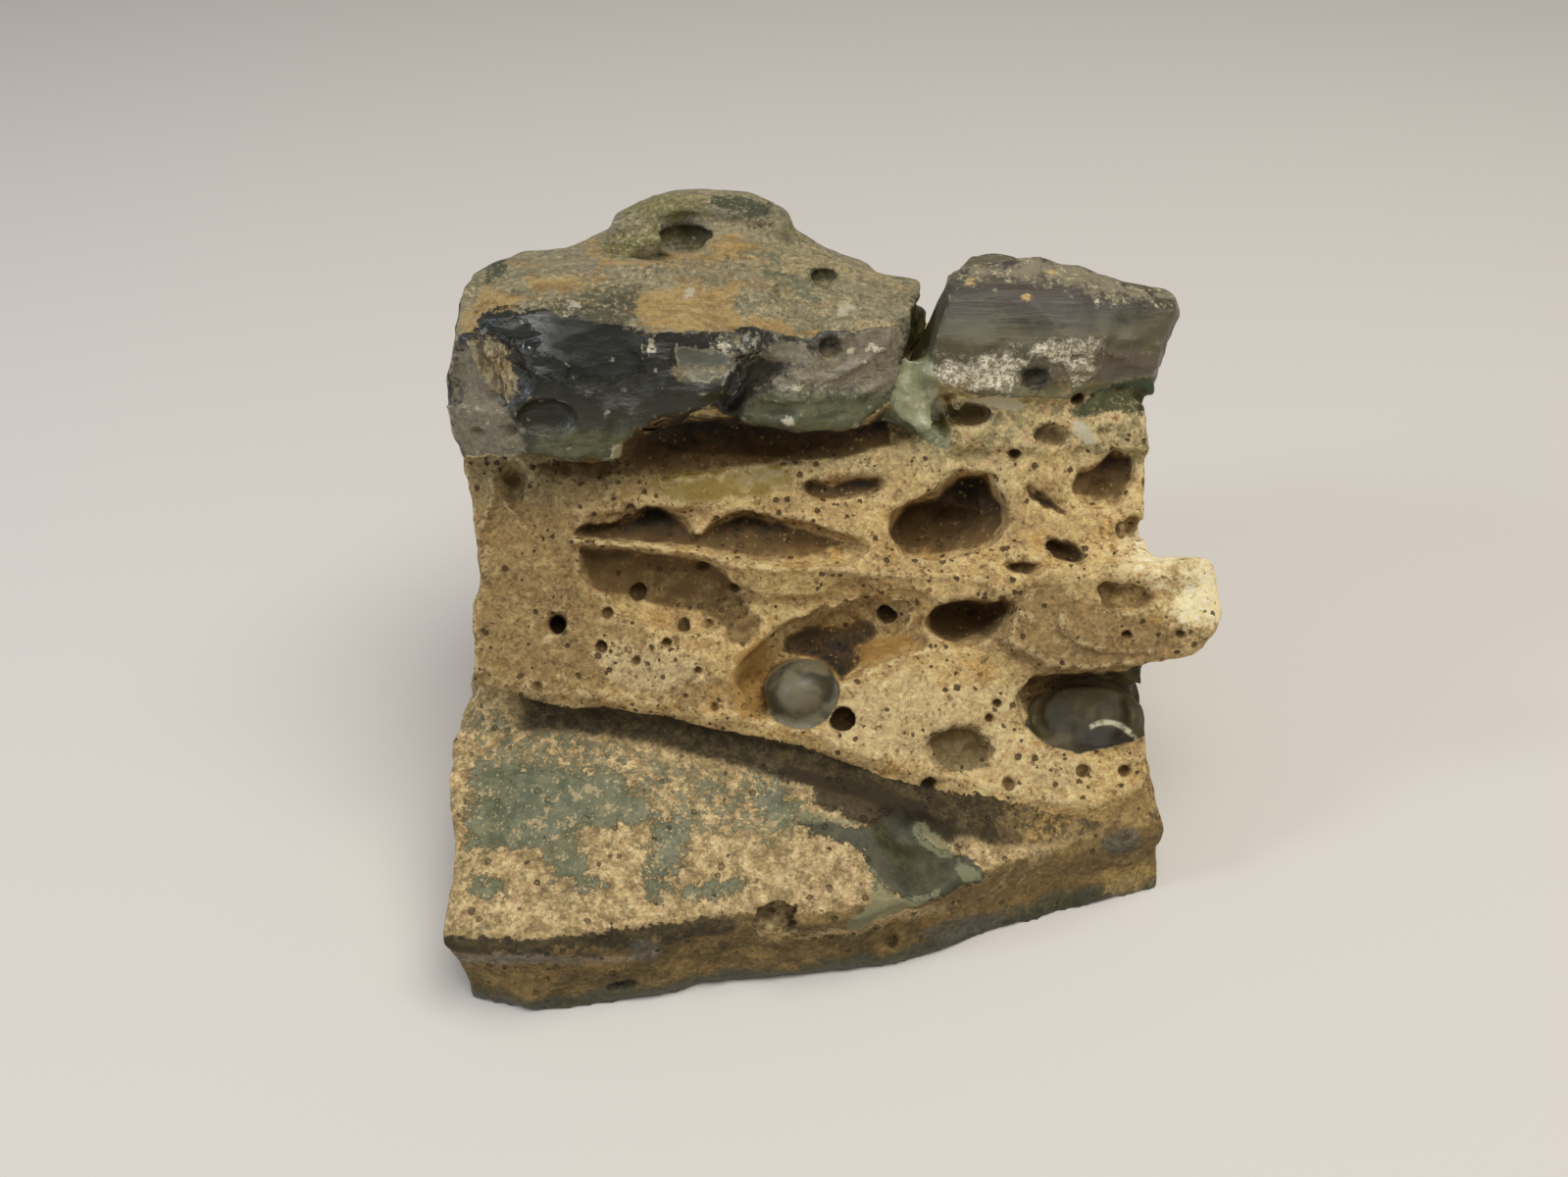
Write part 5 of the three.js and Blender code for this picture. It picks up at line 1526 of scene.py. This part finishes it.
    # Painted shade in the wedge's hollows, in the wall colour and the deep hollow colour.
    base = tree.shaded_and_stained(base, colours.wall, colours.deep_shade, tree.attribute("hollow"))
    tree.join(base, shader["Base Color"])
    rough = tree.between(bare, 0.9, 0.5)
    rough = tree.between(tree.times(side, low), rough, 0.4)
    tree.join(tree.between(bowl, rough, 0.55), shader["Roughness"])
    glassy = tree.most(bowl, tree.times(bare, 0.7))
    tree.join(tree.bump(tree.times(grain["Height"], tree.between(glassy, 1.0, 0.2)), 0.4), shader["Normal"])


def make_materials(colours):
    for make_group in (make_grain_group, make_shade_and_stain_group, make_speck_group):
        make_group()
    for make_material in (make_froth, make_wedge, make_cap_glass, make_block_glass, make_drip):
        make_material(colours)


MATERIALS = ("froth", "wedge", "cap_glass", "block_glass", "drip_glass")


# ---------------------------------------------------------------- what a user can change


def length(name, description, size):
    """A size that is given here in millimetres."""
    return bpy.props.FloatProperty(
        name=name, description=description, default=size * MM, unit="LENGTH", precision=5)


def count(name, description, number):
    return bpy.props.IntProperty(name=name, description=description, default=number)


def angle(name, description, degrees):
    return bpy.props.FloatProperty(
        name=name, description=description, default=math.radians(degrees), subtype="ANGLE")


class ChunkSizes(bpy.types.PropertyGroup):
    rough_step: length("Rough step", "Grid step of the first remesh", 0.55)
    fine_step: length("Fine step", "Grid step of the last remesh", 0.45)
    edge_angle: angle("Edge angle", "Edges that turn by more than this stay crisp", 34)
    rounds: count("Smoothing", "Rounds of smoothing between the edges", 12)
    plate_step: length("Plate step", "How far the plate along the crest stands up", 1.8)
    facet_depth: length("Break depth", "Depth of the breaks in the glass", 2.4)
    lump_height: length("Lump height", "Height of the froth's lumps", 0.5)
    bubbles: count("Bubbles", "How many small burst bubbles there are", 520)
    triangles: count("Triangles", "Most triangles in the finished piece", 192000)


def colour(name, description, *shades):
    return bpy.props.FloatVectorProperty(
        name=name, description=description, subtype="COLOR", size=3, min=0, max=1,
        default=linear(*shades))


class ChunkColours(bpy.types.PropertyGroup):
    froth_light: colour("Froth, light", "Most of the froth", 206, 177, 118)
    froth_mid: colour("Froth, middle", "Duller parts of the froth", 177, 147, 97)
    # The dull froth colour is a duller tone, and painted shade on the arm's underside.
    froth_dull_and_shade: colour("Froth, dull", "Its duller left end and the arm's underside", 133, 108, 68)
    froth_cream: colour("Froth, cream", "Its palest grains and worn crests", 226, 204, 154)
    froth_brown: colour("Froth, brown", "Its darkest grains", 112, 84, 44)
    froth_amber: colour("Froth, amber", "Its warm patches", 172, 130, 66)
    froth_green: colour("Froth, green", "Its greenish upper parts", 128, 122, 83)
    nub: colour("Nub", "The pale end of the arm", 245, 229, 183)
    dent: colour("Dents", "Smooth grey-olive dents in the froth", 116, 102, 68)
    pit: colour("Pits", "The inside of small pits", 66, 46, 20)
    # The hollow colour is painted shade mixed with stain in the hollows. The deep hollow colour is painted
    # shade in the deepest holes and in dark patches.
    hollow: colour("Hollows", "Stain in the hollows", 104, 80, 44)
    deep_shade: colour("Deep hollows", "Stain in the deepest holes", 33, 27, 19)
    hollow_red: colour("Rusty hollows", "Red-brown spots in the hollows", 108, 66, 32)
    amber: colour("Amber", "Amber glaze in the hollows", 160, 120, 56)
    glaze: colour("Glaze", "Yellow-olive glaze under the cap", 142, 120, 56)
    # The moss colour is a real olive stain on the bead and the drip, and also the painted shade in the
    # glass's hollows.
    moss_and_shade: colour("Moss stain", "Olive stain in the glass's pits", 76, 68, 34)
    glass_black: colour("Glass, black", "The cap's darkest glass", 24, 27, 21)
    glass_dark: colour("Glass, dark", "The cap's dark glass", 28, 28, 20)
    glass_grey: colour("Glass, grey", "The cap's greyer glass", 42, 40, 30)
    glass_sage: colour("Glass, sage", "The cap's lower and thinner edge", 54, 56, 38)
    lobe: colour("Lobe", "Lighter green glass in the cap's lobes", 113, 115, 81)
    dust: colour("Dusty glass", "Matte greyish parts of the cap's front", 146, 138, 114)
    facet: colour("Facets", "Pale grey breaks in the cap's front", 117, 117, 103)
    bottle: colour("Bottle green", "Patches of clear dark green", 50, 62, 38)
    olive: colour("Olive", "Yellow-green patches on the cap", 132, 126, 72)
    # The chip colour also paints the highlight in the pocket.
    chip: colour("Chips", "Pale chips and bruises in the glass", 208, 200, 170)
    skin_green: colour("Skin, green", "Weathered top, green parts", 126, 124, 94)
    skin_tan: colour("Skin, tan", "Weathered top, tan parts", 187, 165, 118)
    skin_grey: colour("Skin, grey", "Weathered top, smooth grey parts", 154, 144, 115)
    skin_dark: colour("Skin, dark", "Dark specks in the weathered top", 62, 60, 38)
    skin_light: colour("Skin, light", "Light specks in the weathered top", 223, 211, 167)
    rust_dark: colour("Rust, dark", "Darker grains in the ochre patches", 160, 126, 71)
    rust: colour("Rust", "Ochre patches on the glass", 200, 165, 100)
    block_dark: colour("Block, dark", "The block's upper face, dark", 58, 52, 44)
    block_grey: colour("Block, grey", "The block's upper face, lighter", 74, 67, 57)
    block_light: colour("Block, lines", "Fine lines drawn along the block", 112, 103, 87)
    block_olive: colour("Block, olive", "The block's lower face", 104, 98, 72)
    block_satin: colour("Block, satin", "Its smoothest breaks", 103, 92, 77)
    block_pale: colour("Block, pale", "Under the chips of its chipped band", 196, 186, 157)
    block_white: colour("Block, white", "Chipped band along the block", 238, 227, 198)
    block_green: colour("Block, green", "The block's green foot", 126, 122, 87)
    drip_green: colour("Drip, green", "The drip between cap and block", 113, 117, 81)
    drip_pale: colour("Drip, pale", "The drip's thin edges", 166, 164, 131)
    crust_tan: colour("Crust, tan", "Crust on the wedge", 154, 131, 88)
    crust_pale: colour("Crust, pale", "Paler crust on the wedge", 206, 179, 131)
    sage: colour("Sage glass", "Bare glass on the wedge", 124, 122, 92)
    sage_dark: colour("Sage glass, dark", "Darker bare glass on the wedge", 88, 94, 68)
    # The wall colour and its paler parts are painted shade in the band under the froth's lip, and also the
    # painted shade in the wedge's hollows.
    wall: colour("Wall", "The damp wall under the froth", 60, 50, 28)
    # The deep wall colour is the painted shadow under that overhang.
    overhang_shade: colour("Wall, deep", "The overhang behind the glassy break", 52, 42, 24)
    pale_lip_shade: colour("Wall, pale", "Paler parts of that wall", 88, 74, 46)
    buff: colour("Buff", "Smooth pale wall at the right", 168, 139, 87)
    corner: colour("Corner", "Yellowish right corner", 176, 148, 88)
    side_brown: colour("Side, brown", "Broken sides of the wedge", 96, 80, 48)
    side_ochre: colour("Side, ochre", "Lighter broken sides of the wedge", 130, 107, 64)
    side_red: colour("Side, red", "Red-brown spots on the broken sides", 92, 58, 32)
    side_grey: colour("Side, grey", "Grey glass in the broken sides", 128, 116, 96)
    side_green: colour("Side, green", "Dark green glass along the ground", 56, 62, 42)
    bloom: colour("Bloom", "Paler grey streak under the wedge's rim", 138, 126, 108)
    slate: colour("Slate", "Dark grey glass in the broken sides", 86, 84, 74)
    bead_dark: colour("Bead, dark", "The glassy bead, dark swirls", 58, 56, 42)
    bead_light: colour("Bead, light", "The glassy bead, light swirls", 117, 110, 85)
    pocket_dark: colour("Pocket, dark", "Glass in the pocket, dark swirls", 51, 44, 22)
    pocket_light: colour("Pocket, light", "Glass in the pocket, light swirls", 79, 70, 40)
    scoop_dark: colour("Break, dark", "The glassy break in the wedge, dark", 30, 37, 19)
    scoop_mid: colour("Break, middle", "The glassy break in the wedge, middle", 52, 57, 31)
    scoop_light: colour("Break, light", "Its pale streak and edge", 132, 132, 99)


class SLAG_OT_chunk(bpy.types.Operator):
    """Model the chunk of slag glass over the frame's solid"""

    bl_idname = "slag.chunk"
    bl_label = "Model the chunk"

    def execute(self, context):
        sizes = context.scene.chunk_sizes
        piece = copied_node()
        soften(piece, sizes)
        add_nub(piece, sizes)
        for lobe in (0, 1):
            carve(piece, far_bubbles(piece, lobe), level=3, uneven=0.35)
        shape_froth(piece)
        shape_cap(piece, sizes)
        break_glass(piece, sizes)
        roughen_froth(piece, sizes)
        carve(piece, random_bubbles(piece, sizes) + named_bubbles(piece) + rim_chips())
        apply_modifier(piece, "REMESH", mode="VOXEL", voxel_size=sizes.fine_step)
        drop_crumbs(piece)
        triangles = 2 * len(piece.data.polygons)
        apply_modifier(piece, "DECIMATE", ratio=sizes.triangles / triangles,
                       use_collapse_triangulate=True)
        keep_in_box(piece)
        use_only(piece)
        bpy.ops.object.shade_smooth()
        store_masks(piece)
        make_materials(context.scene.chunk_colours)
        piece.data.materials.clear()
        for name in MATERIALS:
            piece.data.materials.append(bpy.data.materials[name])
        face_materials(piece.data)
        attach(piece, "root")
        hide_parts(NODE)
        return {"FINISHED"}


# ---------------------------------------------------------------- the stage


class StageSettings(bpy.types.PropertyGroup):
    floor_size: bpy.props.FloatProperty(
        name="Floor", description="Width of the floor", default=3.0, unit="LENGTH")
    floor_colour: colour("Floor colour", "Colour of the plain floor", 222, 217, 210)
    camera_height: length("Camera height", "Height of the camera over the floor", EYE[2])
    camera_away: length("Camera distance", "How far the camera stands in front of the foot", -EYE[1])
    camera_down: angle("Camera tilt", "How far the camera looks down", 37)
    lens: bpy.props.FloatProperty(
        name="Lens", description="Focal length on a 36 mm sensor", default=31.97, unit="CAMERA")


def add_camera(stage):
    place = CORNER + np.array((0, -stage.camera_away, stage.camera_height))
    bpy.ops.object.camera_add(location=place, rotation=(math.pi / 2 - stage.camera_down, 0, 0))
    camera = bpy.context.active_object
    camera.data.sensor_width = 36
    camera.data.lens = stage.lens
    camera.data.clip_start = 0.01
    bpy.context.scene.camera = camera


def add_lamp(name, place, aim, size, power, shade):
    """A soft rectangular lamp that faces the aim."""
    bpy.ops.object.light_add(type="AREA", location=place)
    lamp = bpy.context.active_object
    lamp.name = lamp.data.name = name
    lamp.data.shape = "RECTANGLE"
    lamp.data.size, lamp.data.size_y = size
    lamp.data.energy = power
    lamp.data.color = shade
    lamp.rotation_euler = (Vector(aim) - Vector(place)).to_track_quat("-Z", "Y").to_euler()


class SLAG_OT_stage(bpy.types.Operator):
    """Set up the floor, the lamps and the camera"""

    bl_idname = "slag.stage"
    bl_label = "Set the stage"

    def execute(self, context):
        stage = context.scene.stage_settings
        add_camera(stage)
        bpy.ops.mesh.primitive_plane_add(size=stage.floor_size)
        floor = context.active_object
        floor.name = "floor"
        material = bpy.data.materials.new("plain_floor")
        material.use_nodes = True
        shader = material.node_tree.nodes["Principled BSDF"]
        shader.inputs["Base Color"].default_value = (*stage.floor_colour, 1)
        shader.inputs["Roughness"].default_value = 0.9
        floor.data.materials.append(material)
        add_lamp("ceiling", (0.2, -0.18, 0.88), (0, 0, 0.03), (0.8, 0.6), 6.6, (1.0, 0.97, 0.92))
        add_lamp("window", (-0.62, -0.2, 0.42), (0, 0, 0.06), (0.12, 0.16), 1.3, (0.7, 0.82, 1.0))
        world = bpy.data.worlds.new("soft_room")
        world.use_nodes = True
        world.node_tree.nodes["Background"].inputs["Color"].default_value = (1.0, 0.97, 0.94, 1)
        world.node_tree.nodes["Background"].inputs["Strength"].default_value = 0.25
        context.scene.world = world
        context.scene.view_settings.view_transform = "Standard"
        return {"FINISHED"}


class SLAG_PT_panel(bpy.types.Panel):
    bl_idname = "SLAG_PT_panel"
    bl_label = "Slag Glass"
    bl_space_type = "VIEW_3D"
    bl_region_type = "UI"
    bl_category = "Slag Glass"

    def draw(self, context):
        scene = context.scene
        for settings in (scene.chunk_sizes, scene.chunk_colours, scene.stage_settings):
            column = self.layout.column()
            for name in settings.__annotations__:
                column.prop(settings, name)
        self.layout.operator(SLAG_OT_chunk.bl_idname)
        self.layout.operator(SLAG_OT_stage.bl_idname)


CLASSES = (ChunkSizes, ChunkColours, StageSettings, SLAG_OT_chunk, SLAG_OT_stage, SLAG_PT_panel)
SETTINGS = {"chunk_sizes": ChunkSizes, "chunk_colours": ChunkColours, "stage_settings": StageSettings}


def register():
    for one in CLASSES:
        bpy.utils.register_class(one)
    for name, kind in SETTINGS.items():
        setattr(bpy.types.Scene, name, bpy.props.PointerProperty(type=kind))


def unregister():
    for name in SETTINGS:
        delattr(bpy.types.Scene, name)
    for one in reversed(CLASSES):
        bpy.utils.unregister_class(one)


def main():
    register()
    bpy.ops.slag.chunk()
    bpy.ops.slag.stage()


if __name__ == "__main__":
    main()
